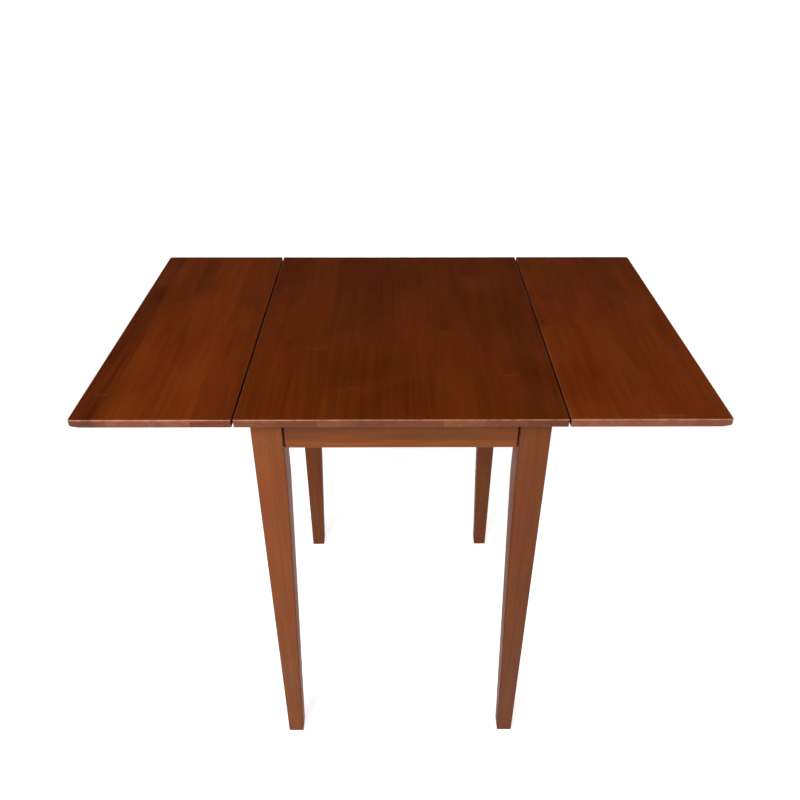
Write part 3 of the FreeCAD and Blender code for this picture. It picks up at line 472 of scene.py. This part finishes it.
def boardSurface(name, outerEnd):
    # rings up the edge: each level is the board's rectangle drawn in by the edges' profiles there
    low, high = (np.array(corner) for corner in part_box(name))
    thick = high[2] - low[2]
    steps = boards["arcSteps"]
    outer, seam, lowRound = boards["outerRound"], boards["seamRound"], boards["lowRound"]
    bevel, beside, support = boards["bevelHigh"], boards["beside"], boards["support"]
    bend = np.sin(np.radians(np.linspace(0, 90, steps + 1)))
    heights = np.concatenate([
        lowRound * (1 - bend[::-1]), [bevel - beside, bevel + beside, bevel + support],
        [thick - outer - support], thick - outer + outer * bend,
    ])
    longInset = arcInset(heights, lowRound) + arcInset(thick - heights, outer)
    seamInset = arcInset(heights, boards["seamLow"]) + arcInset(thick - heights, seam)
    slope = boards["bevelWide"] * np.maximum(1 - heights / bevel, 0)
    slope[heights == bevel - beside] += beside / 2  # rounds the bevel's upper line
    endInset = slope + arcInset(thick - heights, outer)
    heights = np.concatenate([[0], heights, [thick]])
    longInset, seamInset, endInset = (
        np.concatenate([[inset[0] + support], inset, [inset[-1] + support]])
        for inset in (longInset, seamInset, endInset)
    )
    leftInset = endInset if outerEnd == "left" else seamInset
    rightInset = endInset if outerEnd == "right" else seamInset
    radius = np.full((len(heights), 4), boards["corner"])
    if outerEnd != "none":
        radius[:, [0, 1] if outerEnd == "right" else [2, 3]] = boards["outerCorner"]
    radius = np.maximum(radius - np.minimum(longInset, seamInset)[:, None], boards["leastCorner"])
    sides = low[0] + leftInset, high[0] - rightInset, low[1] + longInset, high[1] - longInset
    plan = roundedRings(*sides, radius, boards["cornerSteps"])
    level = np.broadcast_to((low[2] + heights)[:, None], plan.shape[:2])
    rings = np.concatenate([plan, level[..., None]], -1)
    arris = slice(-steps - 1, -2)  # rows of the upper rounding
    wear = np.zeros(plan.shape[:2])
    wear[1 + steps:-1] = boards["uprightWear"]
    # the upper rounding takes the pale colour in full: edge wear and a painted highlight along the arris
    wear[arris] = 1.0
    count = plan.shape[1] // 4
    # at the seams the arris is barely pale, and the walls below it are painted with shade
    for side, columns in (("right", [count - 1, count]), ("left", [3 * count - 1, 3 * count])):
        if side != outerEnd:
            wear[arris, columns] = boards["seamArris"]
            wear[2:-steps, columns] = boards["fixedSeam" if outerEnd == "none" else "leafSeam"]
    grain = np.stack([rings[..., 0], rings[..., 2], rings[..., 1]], -1)  # along Y: (across, through, along)
    return tube(rings, grain=grain, wear=wear)


for name, outerEnd, finish in (
    ("centre_top", "none", "topWood"),
    ("left_leaf", "left", "leafWood"),
    ("right_leaf", "right", "leafWood"),
):
    makePiece(name + "_board", [boardSurface(name, outerEnd)], stained[finish], name)
print("boards made")


# Legs and aprons

corners = {  # the way along X and Y, and the turn from the front left leg
    "front_left": (-1, -1, 0), "front_right": (1, -1, 90),
    "rear_right": (1, 1, 180), "rear_left": (-1, 1, 270),
}
legs = {
    # each leg's tone, painted light and shade: the front left leg lighter and the front right darker, as
    # light falls from the left
    "tone": {"front_left": 0.15, "front_right": -0.18, "rear_right": 0.0, "rear_left": -0.03},
    "foot": 27 * mm,  # square at the floor end
    "straight": 127 * mm,  # untapered length
    "flat": 12 * mm, "flatHigh": 51.5 * mm,  # inner corner cut for the block, each way and down
    "round": 1.5 * mm, "arcSteps": 4,
    "arris": -0.2,  # painted shade: the rounded edges drawn darker and duller
    "footRise": [0.0, 0.3 * mm, 0.8 * mm], "footInset": [0.8 * mm, 0.3 * mm, 0.0],  # rounded and rubbed
    "plainRise": [2 * mm, 200 * mm, 400 * mm],  # rings above the lower end
    "bendRise": [-4 * mm, 0.0, 4 * mm],  # rings about the shoulder, where the taper starts
    "ledge": 0.3 * mm,  # height of the slope from the full square to the cut corner
    "grainStart": 2.1, "grainSteps": (1.3, 0.9, 0.7),  # each leg has its own place in the grain
    "sharpAngle": 30,
}


def legSurface(corner):
    # a rounded square at each level, outer faces fixed and inner faces drawn in below the shoulder
    wayX, wayY, turn = corners[corner]
    low, high = (np.array(end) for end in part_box(corner + "_leg"))
    half = (high[0] - low[0]) / 2
    foot, top = low[2], high[2]
    shoulder, ledge = top - legs["straight"], top - legs["flatHigh"]
    levels = np.concatenate([
        foot + np.array(legs["footRise"] + legs["plainRise"]), shoulder + np.array(legs["bendRise"]),
        [ledge - legs["ledge"], ledge, top],
    ])
    drawn = np.clip((shoulder - levels) / (shoulder - foot), 0, 1) * (2 * half - legs["foot"])
    footRows = len(legs["footInset"])
    inset = np.zeros(len(levels))
    inset[:footRows] = legs["footInset"]
    inner = half - drawn - inset
    outer = -half + inset
    radius = np.full((len(levels), 4), legs["round"])
    plan = roundedRings(outer, inner, outer, inner, radius, legs["arcSteps"])
    count = legs["arcSteps"] + 1
    share = np.linspace(0, 1, count)[:, None]
    near = half - legs["flat"]
    plan[-2:, count:2 * count] = np.array([half, near]) * (1 - share) + np.array([near, half]) * share
    rings = np.concatenate([plan, np.broadcast_to(levels[:, None], plan.shape[:2])[..., None]], -1)
    middle = np.array([(low[0] + high[0]) / 2, (low[1] + high[1]) / 2, 0])
    stepX, stepY, stepZ = legs["grainSteps"]
    apart = np.array([wayX * stepX + legs["grainStart"], wayY * stepY, (wayX + 2 * wayY) * stepZ])
    # painted shade on the rounded edges that run up the leg, rubbed wear at the foot
    wear = np.zeros(plan.shape[:2])
    for index in (0, 2, 3):  # the corners that run whole up to the top
        wear[:, index * count + 1:(index + 1) * count - 1] = legs["arris"]
    wear[:-2, count + 1:2 * count - 1] = legs["arris"]
    wear[:footRows] = 1.0
    return tube(turnedPlace(rings, turn, middle), grain=rings + apart, wear=wear)


for corner, tone in legs["tone"].items():
    name = corner + "_leg"
    makePiece(name + "_post", [legSurface(corner)], stained["legWood"], name, legs["sharpAngle"], tone)

aprons = {
    "groove": 2.4 * mm,  # chamfer at the ends, the shadow line at the legs, deepened with painted shade
    "grooveEase": 0.15 * mm, "support": 0.5 * mm,  # the chamfer's rounded inner line, and a ring past it
    "lowRound": 1.6 * mm, "inRound": 0.8 * mm, "arcSteps": 4,
    "tone": -0.12,
    "lowTone": 0.26, "bandLow": 9 * mm, "bandHigh": 17 * mm,  # a warmer band along the lower edge
    "turns": {"front_apron": 0, "right_apron": 90, "rear_apron": 180, "left_apron": 270},
    "apart": {"front_apron": 5.3, "right_apron": 6.1, "rear_apron": 7.7, "left_apron": 8.9},  # in the grain
}


def railSurface(name):
    # the rail's section carried along its length; near the ends its outer face slopes in by the groove
    turn, apart, steps = aprons["turns"][name], aprons["apart"][name], aprons["arcSteps"]
    groove, outRound, inRound = aprons["groove"], aprons["lowRound"], aprons["inRound"]
    low, high = (np.array(end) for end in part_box(name))
    size = high - low
    long, thick = (size[0], size[1]) if turn % 180 == 0 else (size[1], size[0])
    angle = np.radians(np.linspace(0, 90, steps + 1))
    sine, cosine = np.sin(angle), np.cos(angle)
    outArc = np.stack([-thick / 2 + outRound - outRound * sine, outRound - outRound * cosine], -1)
    inArc = np.stack([thick / 2 - inRound + inRound * sine, inRound - inRound * cosine], -1)
    bandHigh, bandLow = aprons["bandHigh"], aprons["bandLow"]
    flats = [[thick / 2, size[2]], [-thick / 2, size[2]], [-thick / 2, bandHigh], [-thick / 2, bandLow]]
    section = np.concatenate([outArc[::-1], inArc, flats])
    isOuter = np.concatenate([np.ones(steps + 1), np.zeros(steps + 1), [0, 1, 1, 1]])
    tone = np.where(section[:, 1] < (bandLow + bandHigh) / 2, isOuter, 0) * aprons["lowTone"]
    along = np.array([-long / 2, -long / 2 + groove, -long / 2 + groove + aprons["support"], 0])
    along = np.concatenate([along, -along[-2::-1]])
    slope = np.array([groove, aprons["grooveEase"], 0, 0])
    slope = np.concatenate([slope, slope[-2::-1]])
    y = section[None, :, 0] + slope[:, None] * isOuter[None, :]
    x = np.broadcast_to(along[:, None], y.shape)
    z = np.broadcast_to(low[2] + section[None, :, 1], y.shape)
    rings = np.stack([x, y, z], -1)
    wear = np.zeros(y.shape)
    wear[:, 1:steps] = 1.0
    # the rail's end rings and the groove on its outer face are painted with shade: a painted shadow line at
    # the legs
    wear[[0, -1]] = -1.0
    wear[[1, -2]] = -isOuter
    grain = np.stack([rings[..., 2] + apart, rings[..., 1], rings[..., 0] + apart], -1)
    middle = [(low[0] + high[0]) / 2, (low[1] + high[1]) / 2, 0]
    return tube(turnedPlace(rings, turn, middle), grain=grain, wear=wear, tone=tone)


for name in aprons["turns"]:
    makePiece(name + "_rail", [railSurface(name)], stained["apronWood"], name, tone=aprons["tone"])
print("legs and aprons made")


# Metals and plastic

metals = {
    # colour, worn colour, roughness, and cycles a metre of the clouds in the plating
    "bronzedSteel": (linear(92, 74, 54), linear(136, 112, 80), 0.36, 60),
    "screwSteel": (linear(104, 86, 62), linear(150, 126, 92), 0.32, 90),
    "zincSteel": (linear(168, 172, 176), linear(200, 202, 204), 0.3, 70),
}
plating = {
    "cloudDetail": (4.0, 0.6), "wornEnds": (0.45, 0.75),
    "roughEnds": (0.3, 0.7), "smoother": -0.08, "rougher": 0.1,
    "fineTimes": 14, "bump": 0.15, "bumpDistance": 0.2 * mm,
}


def makeMetal(name):
    colour, wornAndLit, roughness, cycles = metals[name]
    material, tree, shader = newMaterial(name)
    place = addNode(tree, "TexCoord", {}).outputs["Object"]
    cloud = noise(tree, place, [cycles] * 3, *plating["cloudDetail"])
    fine = noise(tree, place, [cycles * plating["fineTimes"]] * 3)
    bump = {"Strength": plating["bump"], "Distance": plating["bumpDistance"], "Height": fine}
    ends = roughness + plating["smoother"], roughness + plating["rougher"]
    setSockets(tree, shader, {
        "Base Color": mixColour(tree, ramp(tree, cloud, *plating["wornEnds"]), colour, wornAndLit),
        "Roughness": ramp(tree, cloud, *plating["roughEnds"], *ends),
        "Metallic": 1.0,
        "Normal": addNode(tree, "Bump", bump).outputs[0],
    })
    return material


plastic = {
    "colour": linear(66, 58, 50), "scuffed": linear(120, 112, 102), "roughness": 0.5,
    "fine": ((1500, 1500, 1500), 2.0), "scuffs": ((300, 300, 300), 3.0), "scuffEnds": (0.5, 0.8),
    "bump": 0.1, "bumpDistance": 0.1 * mm,
}


def makePlastic(name):
    material, tree, shader = newMaterial(name)
    place = addNode(tree, "TexCoord", {}).outputs["Object"]
    fine = noise(tree, place, *plastic["fine"])
    scuffs = ramp(tree, noise(tree, place, *plastic["scuffs"]), *plastic["scuffEnds"])
    bump = {"Strength": plastic["bump"], "Distance": plastic["bumpDistance"], "Height": fine}
    setSockets(tree, shader, {
        "Base Color": mixColour(tree, scuffs, plastic["colour"], plastic["scuffed"]),
        "Roughness": plastic["roughness"],
        "Normal": addNode(tree, "Bump", bump).outputs[0],
    })
    return material


plated = {name: makeMetal(name) for name in metals}
glidePlastic = makePlastic("glidePlastic")

# Hardware tools

def solidPoints(name):
    # the points of each separate solid in a node: points that share a triangle take the lowest label
    mesh = nodes[name].data
    points = np.empty(len(mesh.vertices) * 3, np.float32)
    mesh.vertices.foreach_get("co", points)
    points = points.reshape(-1, 3).astype(float)
    corner = np.empty(len(mesh.loops), np.int32)
    mesh.loops.foreach_get("vertex_index", corner)
    merged = np.unique(points.round(5), axis=0, return_inverse=True)[1].reshape(-1)  # to 0.01 mm
    triangles = merged[corner].reshape(-1, 3)
    label = np.arange(merged.max() + 1)
    settled = False
    while not settled:
        lowest = label.copy()
        np.minimum.at(lowest, triangles.ravel(), label[triangles].min(1).repeat(3))
        settled = bool((lowest == label).all())
        label = lowest
    owner = label[merged]
    return [points[owner == number] for number in np.unique(owner)]


def solidEnds(points, direction):
    # the first and last point of a round solid along its axis
    middle = (points.min(0) + points.max(0)) / 2
    along = (points - middle) @ direction
    return middle + direction * along.min(), middle + direction * along.max()


def longAxis(points):
    # the world axis that a solid is longest along
    axis = np.zeros(3)
    axis[np.argmax(np.ptp(points, axis=0))] = 1.0
    return axis


def spun(alongs, radii, start, direction, angles, turn=0.0):
    # start + direction * along + radius * (side * cos a + up * sin a), for each row and angle
    # the helper is any axis well off the direction
    helper = (1.0, 0.0, 0.0) if abs(direction[2]) > 0.9 else (0.0, 0.0, 1.0)
    side = np.cross(direction, helper)
    side /= np.linalg.norm(side)
    up = np.cross(direction, side)
    around = np.cos(angles + turn)[:, None] * side + np.sin(angles + turn)[:, None] * up
    radii = np.broadcast_to(radii.reshape(len(alongs), -1), (len(alongs), len(angles)))
    return start + alongs[:, None, None] * direction + radii[..., None] * around


def evenAngles(count):
    return np.arange(count) * 2 * math.pi / count


easing = {
    "steel": 0.3 * mm, "block": 0.8 * mm, "cleat": 0.7 * mm,  # roundings
    "merge": 0.002 * mm,
    "flatAngle": 0.5, "sharpAngle": 35, "smoothAngle": 30,  # degrees between faces
    "segments": 2,
    "grainStep": 0.37,  # metres of grain for each letter of a name, so that pieces differ
}


def eased(name, material, ease, grain=None):
    # a merged copy of a node, its sharp edges rounded a little; grain: a turn about Z to the fibres' axis
    work = bmesh.new()
    work.from_mesh(nodes[name].data)
    bmesh.ops.remove_doubles(work, verts=work.verts, dist=easing["merge"])
    flat, least = math.radians(easing["flatAngle"]), math.radians(easing["sharpAngle"])
    bmesh.ops.dissolve_limit(work, angle_limit=flat, verts=work.verts, edges=work.edges)
    sharp = [edge for edge in work.edges if edge.is_manifold and edge.calc_face_angle() > least]
    bmesh.ops.bevel(
        work, geom=sharp, offset=ease, segments=easing["segments"], profile=0.5, affect="EDGES",
        clamp_overlap=True,
    )
    mesh = bpy.data.meshes.new(name + "_eased")
    work.to_mesh(mesh)
    work.free()
    if grain is not None:
        points = np.empty(len(mesh.vertices) * 3, np.float32)
        mesh.vertices.foreach_get("co", points)
        placed = turnedPlace(points.reshape(-1, 3), grain, (0.0, 0.0, 0.0))
        plain = np.zeros(len(placed))
        storeGrain(mesh, placed[:, [1, 2, 0]] + len(name) * easing["grainStep"], plain, plain)
    placePiece(mesh, material, name, easing["smoothAngle"])


# Screws: a cross recess in a countersunk or a domed head, on a plain shank in the wood

screws = {
    "head": 3.2 * mm, "neck": 1.7 * mm, "sink": 1.5 * mm,  # countersunk
    "panHead": 4.2 * mm, "panHigh": 2.6 * mm, "panBend": [32, 50, 65, 78, 90],  # degrees down the dome
    "domeShare": 0.8, "faceShare": 0.8,  # the dome's share of the head, the recess's of its first ring
    "recessDeep": 1.1 * mm, "recessReach": 1.75 * mm, "recessHalf": 0.42 * mm,
    "sideAngle": 0.52,  # radians, from an arm's middle to a point on its side
    "floorShares": [(1.0, 0.2), (0.96, 0.55)],  # depth and width of the recess's floor
    "ease": 0.18 * mm, "rimShare": 0.3, "lipShare": 0.4,  # of the ease
    "pointLong": 3.0 * mm, "pointRadius": 0.2 * mm,
    "turnStep": 2.4,  # radians from one screw's recess to the next one's
}
armCorner = math.atan(screws["recessHalf"] / screws["recessReach"])
armAngles = np.array([-screws["sideAngle"], -armCorner, 0.0, armCorner, screws["sideAngle"], math.pi / 4])
crossAngles = (np.arange(4)[:, None] * math.pi / 2 + armAngles).ravel()


def crossRadius(shrink):
    # outline of a cross: reach / cos a on an arm's end, half width / sin a along its sides
    fromArm = np.tile(armAngles, 4)
    end = screws["recessReach"] / np.cos(fromArm)
    side = screws["recessHalf"] / np.maximum(np.abs(np.sin(fromArm)), 1e-6)  # never divides by zero
    return np.minimum(end, side) * shrink


def screwRings(points, index, pan, headOut):
    # rows from the recess's floor over the head's face, then down the cone or dome to the point
    axis = longAxis(points)
    start, end = solidEnds(points, axis)
    farther = start[:2] @ start[:2] > end[:2] @ end[:2]
    if axis[2] == 0 and farther != headOut:  # a level screw's head faces the table's middle, or away
        start, end, axis = end, start, -axis
    long = np.linalg.norm(end - start)
    neck, ease = screws["neck"], screws["ease"]
    if pan:
        high, head, domed = screws["panHigh"], screws["panHead"], screws["domeShare"]
        bend = np.radians(screws["panBend"])
        alongs = [high * domed * (1 - math.cos(angle)) for angle in bend] + [high, high]
        radii = [head * math.sin(angle) for angle in bend] + [head, neck]
        face = alongs[0] * screws["faceShare"]
    else:
        head, rim = screws["head"], ease * screws["rimShare"]
        alongs = [0.0, rim, ease, screws["sink"]]
        radii = [head - ease, head - rim, head, neck]
        face = 0.0
    deep = face + screws["recessDeep"]
    floor = screws["floorShares"]
    recess = [crossRadius(wide) for down, wide in floor]
    recess += [crossRadius(1.0), crossRadius(1.0) + ease * screws["lipShare"]]
    alongs = [deep * down for down, wide in floor] + [face + ease, face] + alongs
    alongs += [long - screws["pointLong"], long]
    flat = np.ones(len(crossAngles))
    radii = recess + [flat * radius for radius in radii + [neck, screws["pointRadius"]]]
    return spun(np.array(alongs), np.array(radii), start, axis, crossAngles, index * screws["turnStep"])


# Hanger bolts, washers and nuts at the corner blocks

bolts = {
    "radius": 4.0 * mm, "pitch": 1.25 * mm, "threadDeep": 0.55 * mm, "threadLong": 33 * mm, "end": 0.6 * mm,
    "rowsEachTurn": 6, "columns": 20,
    "bore": 4.15 * mm, "boreEase": 0.5 * mm,
    "flat": 6.5 * mm, "nutColumns": 48,
    "chamfer": 0.9 * mm, "coneShare": 1.16, "coneRows": [1.0, 0.35, 0.0],  # a cone cuts the nut's corners
    "washer": 9.0 * mm, "washerEase": 0.25 * mm,
}


def cornerSolid(points):
    # the end in or next to the leg, the way from there to the table's middle, and the length
    middle = (points.min(0) + points.max(0)) / 2
    direction = np.array([-np.sign(middle[0]), -np.sign(middle[1]), 0.0]) / math.sqrt(2)
    start, end = solidEnds(points, direction)
    return start, direction, np.linalg.norm(end - start)


def boltRings(points):
    # plain end in the leg, then a thread: radius - depth * |2 t - 1|, t = share of a turn at each point
    start, direction, long = cornerSolid(points)
    radius, first, pitch = bolts["radius"], long - bolts["threadLong"], bolts["pitch"]
    threaded = np.arange(first, long - bolts["end"], pitch / bolts["rowsEachTurn"])
    angles = evenAngles(bolts["columns"])
    part = (threaded[:, None] / pitch - angles / (2 * math.pi)) % 1.0
    thread = radius - bolts["threadDeep"] * np.abs(2 * part - 1)
    plain = np.full((2, len(angles)), radius)
    tip = np.full((1, len(angles)), radius - bolts["end"])
    alongs = np.concatenate([[0.0, first - pitch], threaded, [long]])
    return spun(alongs, np.concatenate([plain, thread, tip]), start, direction, angles)


def nutRings(points):
    # a hexagon, flat / cos(angle from the flat's middle), cut by a cone at both faces
    start, direction, thick = cornerSolid(points)
    angles = evenAngles(bolts["nutColumns"])
    hexagon = bolts["flat"] / np.cos(angles % (math.pi / 3) - math.pi / 6)
    ease = bolts["chamfer"]
    alongs = np.array([0.0, ease / 2, ease, thick - ease, thick - ease / 2, thick])
    cone = bolts["flat"] * bolts["coneShare"] - np.array(bolts["coneRows"] + bolts["coneRows"][::-1]) * ease
    outer = np.minimum(hexagon, cone[:, None])
    bore = np.full((4, len(angles)), bolts["bore"])
    bore[[0, 3]] += bolts["boreEase"]
    alongs = np.concatenate([alongs, [thick, thick - bolts["boreEase"], bolts["boreEase"], 0.0]])
    return spun(alongs, np.concatenate([outer, bore]), start, direction, angles)


def washerRings(points):
    # a flat ring with eased outer edges
    start, direction, thick = cornerSolid(points)
    ease, washer, bore = bolts["washerEase"], bolts["washer"], bolts["bore"]
    alongs = np.array([0.0, ease, thick - ease, thick, thick, 0.0])
    radii = np.array([washer - ease, washer, washer, washer - ease, bore, bore])
    return spun(alongs, radii, start, direction, evenAngles(bolts["nutColumns"]))


# Pivots, hinge pins and foot glides

turnings = {
    "rivetHead": 4.8 * mm, "rivetThick": 1.6 * mm, "rivetRim": 0.5 * mm, "rivetShank": 2.5 * mm,
    "pin": 1.6 * mm, "pinDome": 0.7 * mm,
    "glide": 9.5 * mm, "glideHigh": 3.0 * mm, "glideRound": 1.2 * mm, "glideEase": 0.3 * mm,
    "nail": 1.1 * mm, "nailPoint": 2 * mm, "nailEnd": 0.2 * mm,
    "domeBend": [6, 25, 45, 65, 80, 90], "rimBend": [0, 20, 45, 70, 90],  # degrees
    "columns": 32,
}
dome = np.radians(turnings["domeBend"])
upAxis, depthAxis = np.array([0.0, 0.0, 1.0]), np.array([0.0, 1.0, 0.0])


def mirroredRings(points, rise, radii):
    # a solid along Y whose two ends have the same rings, mirrored
    start, end = solidEnds(points, depthAxis)
    alongs = np.concatenate([rise, (end[1] - start[1]) - rise[::-1]])
    both = np.concatenate([radii, radii[::-1]])
    return spun(alongs, both, start, depthAxis, evenAngles(turnings["columns"]))


def rivetRings(points):
    # two heads domed by (1 - cos a, sin a), a shank between them
    head, thick, rim = turnings["rivetHead"], turnings["rivetThick"], turnings["rivetRim"]
    rise = np.concatenate([(thick - rim) * (1 - np.cos(dome)), [thick, thick]])
    radii = np.concatenate([head * np.sin(dome), [head, turnings["rivetShank"]]])
    return mirroredRings(points, rise, radii)


def pinRings(points):
    # a plain pin, its ends domed in the same way
    return mirroredRings(points, turnings["pinDome"] * (1 - np.cos(dome)), turnings["pin"] * np.sin(dome))


def glideRings(points):
    # a flat disc with a quarter-round lower rim, and its nail
    start, end = solidEnds(points, upAxis)
    long = end[2] - start[2]
    glide, high, bend, ease = (turnings[key] for key in ("glide", "glideHigh", "glideRound", "glideEase"))
    nail, point = turnings["nail"], turnings["nailPoint"]
    turn = np.radians(turnings["rimBend"])
    alongs = np.concatenate([bend * (1 - np.cos(turn)), [high - ease, high, high, long - point, long]])
    nailRadii = [glide, glide - ease, nail, nail, turnings["nailEnd"]]
    radii = np.concatenate([glide - bend + bend * np.sin(turn), nailRadii])
    return spun(alongs, radii, start, upAxis, evenAngles(turnings["columns"]))


def turnedRings(name):
    # the rings of each solid in a node of screws, rivets, studs or pins
    solids = solidPoints(name)
    if name.endswith("_screws"):
        pan, headOut = name == "corner_block_screws", name == "frame_stay_screws"
        return [screwRings(points, index, pan, headOut) for index, points in enumerate(solids)]
    return [pinRings(points) if name.endswith("_pin") else rivetRings(points) for points in solids]


hardware = {
    "turnedAngle": 30,  # smooth below this, for screws, rivets and pins
    "groups": [  # node, ending, rings, closed, material, angle
        ("hanger_bolts", "_threaded", boltRings, False, plated["zincSteel"], 50),
        ("bolt_nuts", "_eased", nutRings, True, plated["zincSteel"], 25),
        ("bolt_washers", "_eased", washerRings, True, plated["zincSteel"], 25),
        ("foot_glides", "_turned", glideRings, False, glidePlastic, 30),
    ],
}


def makeHardware():
    for name in nodes:
        if name.endswith(("_screws", "_rivets", "_studs", "_pin")):
            material = plated["screwSteel" if name.endswith("_screws") else "bronzedSteel"]
            parts = [tube(rings) for rings in turnedRings(name)]
            makePiece(name + "_turned", parts, material, name, hardware["turnedAngle"])
        elif name.endswith(("_plate", "_bracket", "_arm")):
            eased(name, plated["bronzedSteel"], easing["steel"])
        elif name.endswith("_corner_block"):
            turn = corners[name.removesuffix("_corner_block")][2]
            eased(name, stained["innerWood"], easing["block"], 45 if turn % 180 else -45)
        elif name.endswith("_cleat"):
            eased(name, stained["innerWood"], easing["cleat"], 0)
    for name, ending, rings, closed, material, sharpAngle in hardware["groups"]:
        parts = [tube(rings(points), closed) for points in solidPoints(name)]
        makePiece(name + ending, parts, material, name, sharpAngle)


makeHardware()
finishes = {**stained, **plated, "glidePlastic": glidePlastic}
for name, node in nodes.items():  # the solids too: slot top_wood has the finish topWood
    first, second = slotOf[name].split("_")
    node.data.materials.clear()
    node.data.materials.append(finishes[first + second.title()])
print("hardware made")


# Studio: pale floor, soft lamps, a room that is pale at the horizon and dark overhead

white = (1, 1, 1, 1)
studio = {
    "floor": 60.0,  # metres across
    "nearGlow": 0.7, "farGlow": 0.9, "glowEnds": (1.0, 3.0), "floorGrey": 0.8,
    "bounceGrey": 0.6,  # the floor as diffuse rays see it
    "horizon": 0.48, "overhead": 0.14, "skyEnds": (0.08, 0.5),  # the room as diffuse rays see it
    "gloss": 0.03,  # as glossy rays see the wall above the white backdrop, dark overhead
    "backdropEnds": (0.0, 0.1), "wallEnds": (0.3, 0.52),  # heights of a direction, 1 straight up
    "lamps": [
        # place, aim, size, watts, seen in reflections
        ((-0.85, -1.5, 1.85), (0.0, -0.1, 0.65), 1.0, 34.0, True),
        ((1.8, -2.0, 1.9), (0.1, -0.1, 0.6), 1.4, 20.0, True),
        ((-2.4, 1.2, 1.5), (0.0, 0.0, 0.5), 1.2, 3.5, True),
        ((2.4, 1.2, 1.5), (0.0, 0.0, 0.5), 1.2, 3.5, True),
        ((0.0, 2.4, 0.48), (0.0, 0.0, 0.45), 0.5, 9.0, False),  # below the top's level, for the rear faces
    ],
}


def makeRoom():
    world = bpy.data.worlds.new("studioRoom")
    scene.world = world
    world.use_nodes = True
    tree = world.node_tree
    tree.nodes.clear()
    rays = addNode(tree, "LightPath", {}).outputs
    direction = addNode(tree, "TexCoord", {}).outputs["Generated"]
    up = addNode(tree, "SeparateXYZ", {0: direction}).outputs[2]
    diffuse = ramp(tree, up, *studio["skyEnds"], studio["horizon"], studio["overhead"])
    backdrop = ramp(tree, up, *studio["backdropEnds"], 1.0, 0.0)
    wall = ramp(tree, up, *studio["wallEnds"], studio["gloss"], 0.0)
    glossy = calc(tree, "MAXIMUM", backdrop, wall)
    level = calc(tree, "SUBTRACT", glossy, diffuse)
    level = calc(tree, "MULTIPLY_ADD", rays["Is Glossy Ray"], level, diffuse)
    seen = calc(tree, "MAXIMUM", rays["Is Camera Ray"], rays["Is Transmission Ray"])
    strength = calc(tree, "MAXIMUM", seen, level)
    background = addNode(tree, "Background", {"Color": white, "Strength": strength})
    addNode(tree, "OutputWorld", {"Surface": background.outputs[0]})


def makeFloor():
    half = studio["floor"] / 2
    square = [(-half, -half, 0), (half, -half, 0), (half, half, 0), (-half, half, 0)]
    mesh = bpy.data.meshes.new("floor")
    mesh.from_pydata(square, [], [[0, 1, 2, 3]])
    floor = bpy.data.objects.new("floor", mesh)
    scene.collection.objects.link(floor)
    material = bpy.data.materials.new("paleFloor")
    material.use_nodes = True
    tree = material.node_tree
    tree.nodes.clear()
    rays = addNode(tree, "LightPath", {}).outputs
    seen = calc(tree, "MAXIMUM", rays["Is Camera Ray"], rays["Is Glossy Ray"])
    seen = calc(tree, "MAXIMUM", seen, rays["Is Transmission Ray"])
    away = addNode(tree, "TexCoord", {}).outputs["Object"]
    away = addNode(tree, "VectorMath", {0: away}, operation="LENGTH").outputs["Value"]
    away = ramp(tree, away, *studio["glowEnds"], studio["nearGlow"], studio["farGlow"])
    glow = addNode(tree, "Emission", {"Color": white, "Strength": away}).outputs[0]
    shaded, plain = (
        addNode(tree, "BsdfDiffuse", {"Color": (level, level, level, 1)}).outputs[0]
        for level in (studio["floorGrey"], studio["bounceGrey"])
    )
    both = addNode(tree, "AddShader", {0: glow, 1: shaded}).outputs[0]
    top = addNode(tree, "MixShader", {0: seen, 1: plain, 2: both}).outputs[0]
    below = addNode(tree, "NewGeometry", {}).outputs["Backfacing"]  # clear, to show the underside
    clear = addNode(tree, "BsdfTransparent", {}).outputs[0]
    surface = addNode(tree, "MixShader", {0: below, 1: top, 2: clear}).outputs[0]
    addNode(tree, "OutputMaterial", {"Surface": surface})
    mesh.materials.append(material)


def makeLamps():
    for index, (place, aim, size, watts, mirrored) in enumerate(studio["lamps"]):
        lamp = bpy.data.lights.new("softLamp%d" % index, "AREA")
        lamp.shape = "SQUARE"
        lamp.size = size
        lamp.energy = watts
        holder = bpy.data.objects.new("softLamp%d" % index, lamp)
        scene.collection.objects.link(holder)
        holder.location = place
        holder.visible_glossy = mirrored
        holder.rotation_euler = (Vector(aim) - Vector(place)).to_track_quat("-Z", "Y").to_euler()


camera = {
    "place": (-0.0075, -1.1069, 1.3434),  # from a fit of some 190 readings of the photo
    "pitch": 32.32, "yaw": 0.38, "roll": 0.11,  # degrees, down, to the right, right side up
    "lens": 33.49, "sensor": 36.0, "shift": -0.0295,
}


def makeCamera():
    data = bpy.data.cameras.new("photoView")
    data.lens = camera["lens"]
    data.sensor_width = camera["sensor"]
    data.shift_y = camera["shift"]
    view = bpy.data.objects.new("photoView", data)
    scene.collection.objects.link(view)
    view.location = camera["place"]
    aim = Euler((math.radians(90 - camera["pitch"]), 0.0, math.radians(-camera["yaw"]))).to_matrix()
    view.rotation_euler = (aim @ Matrix.Rotation(math.radians(camera["roll"]), 3, "Z")).to_euler()
    scene.camera = view


makeRoom()
makeFloor()
makeLamps()
makeCamera()
scene.view_settings.view_transform = "Standard"
print("studio made")
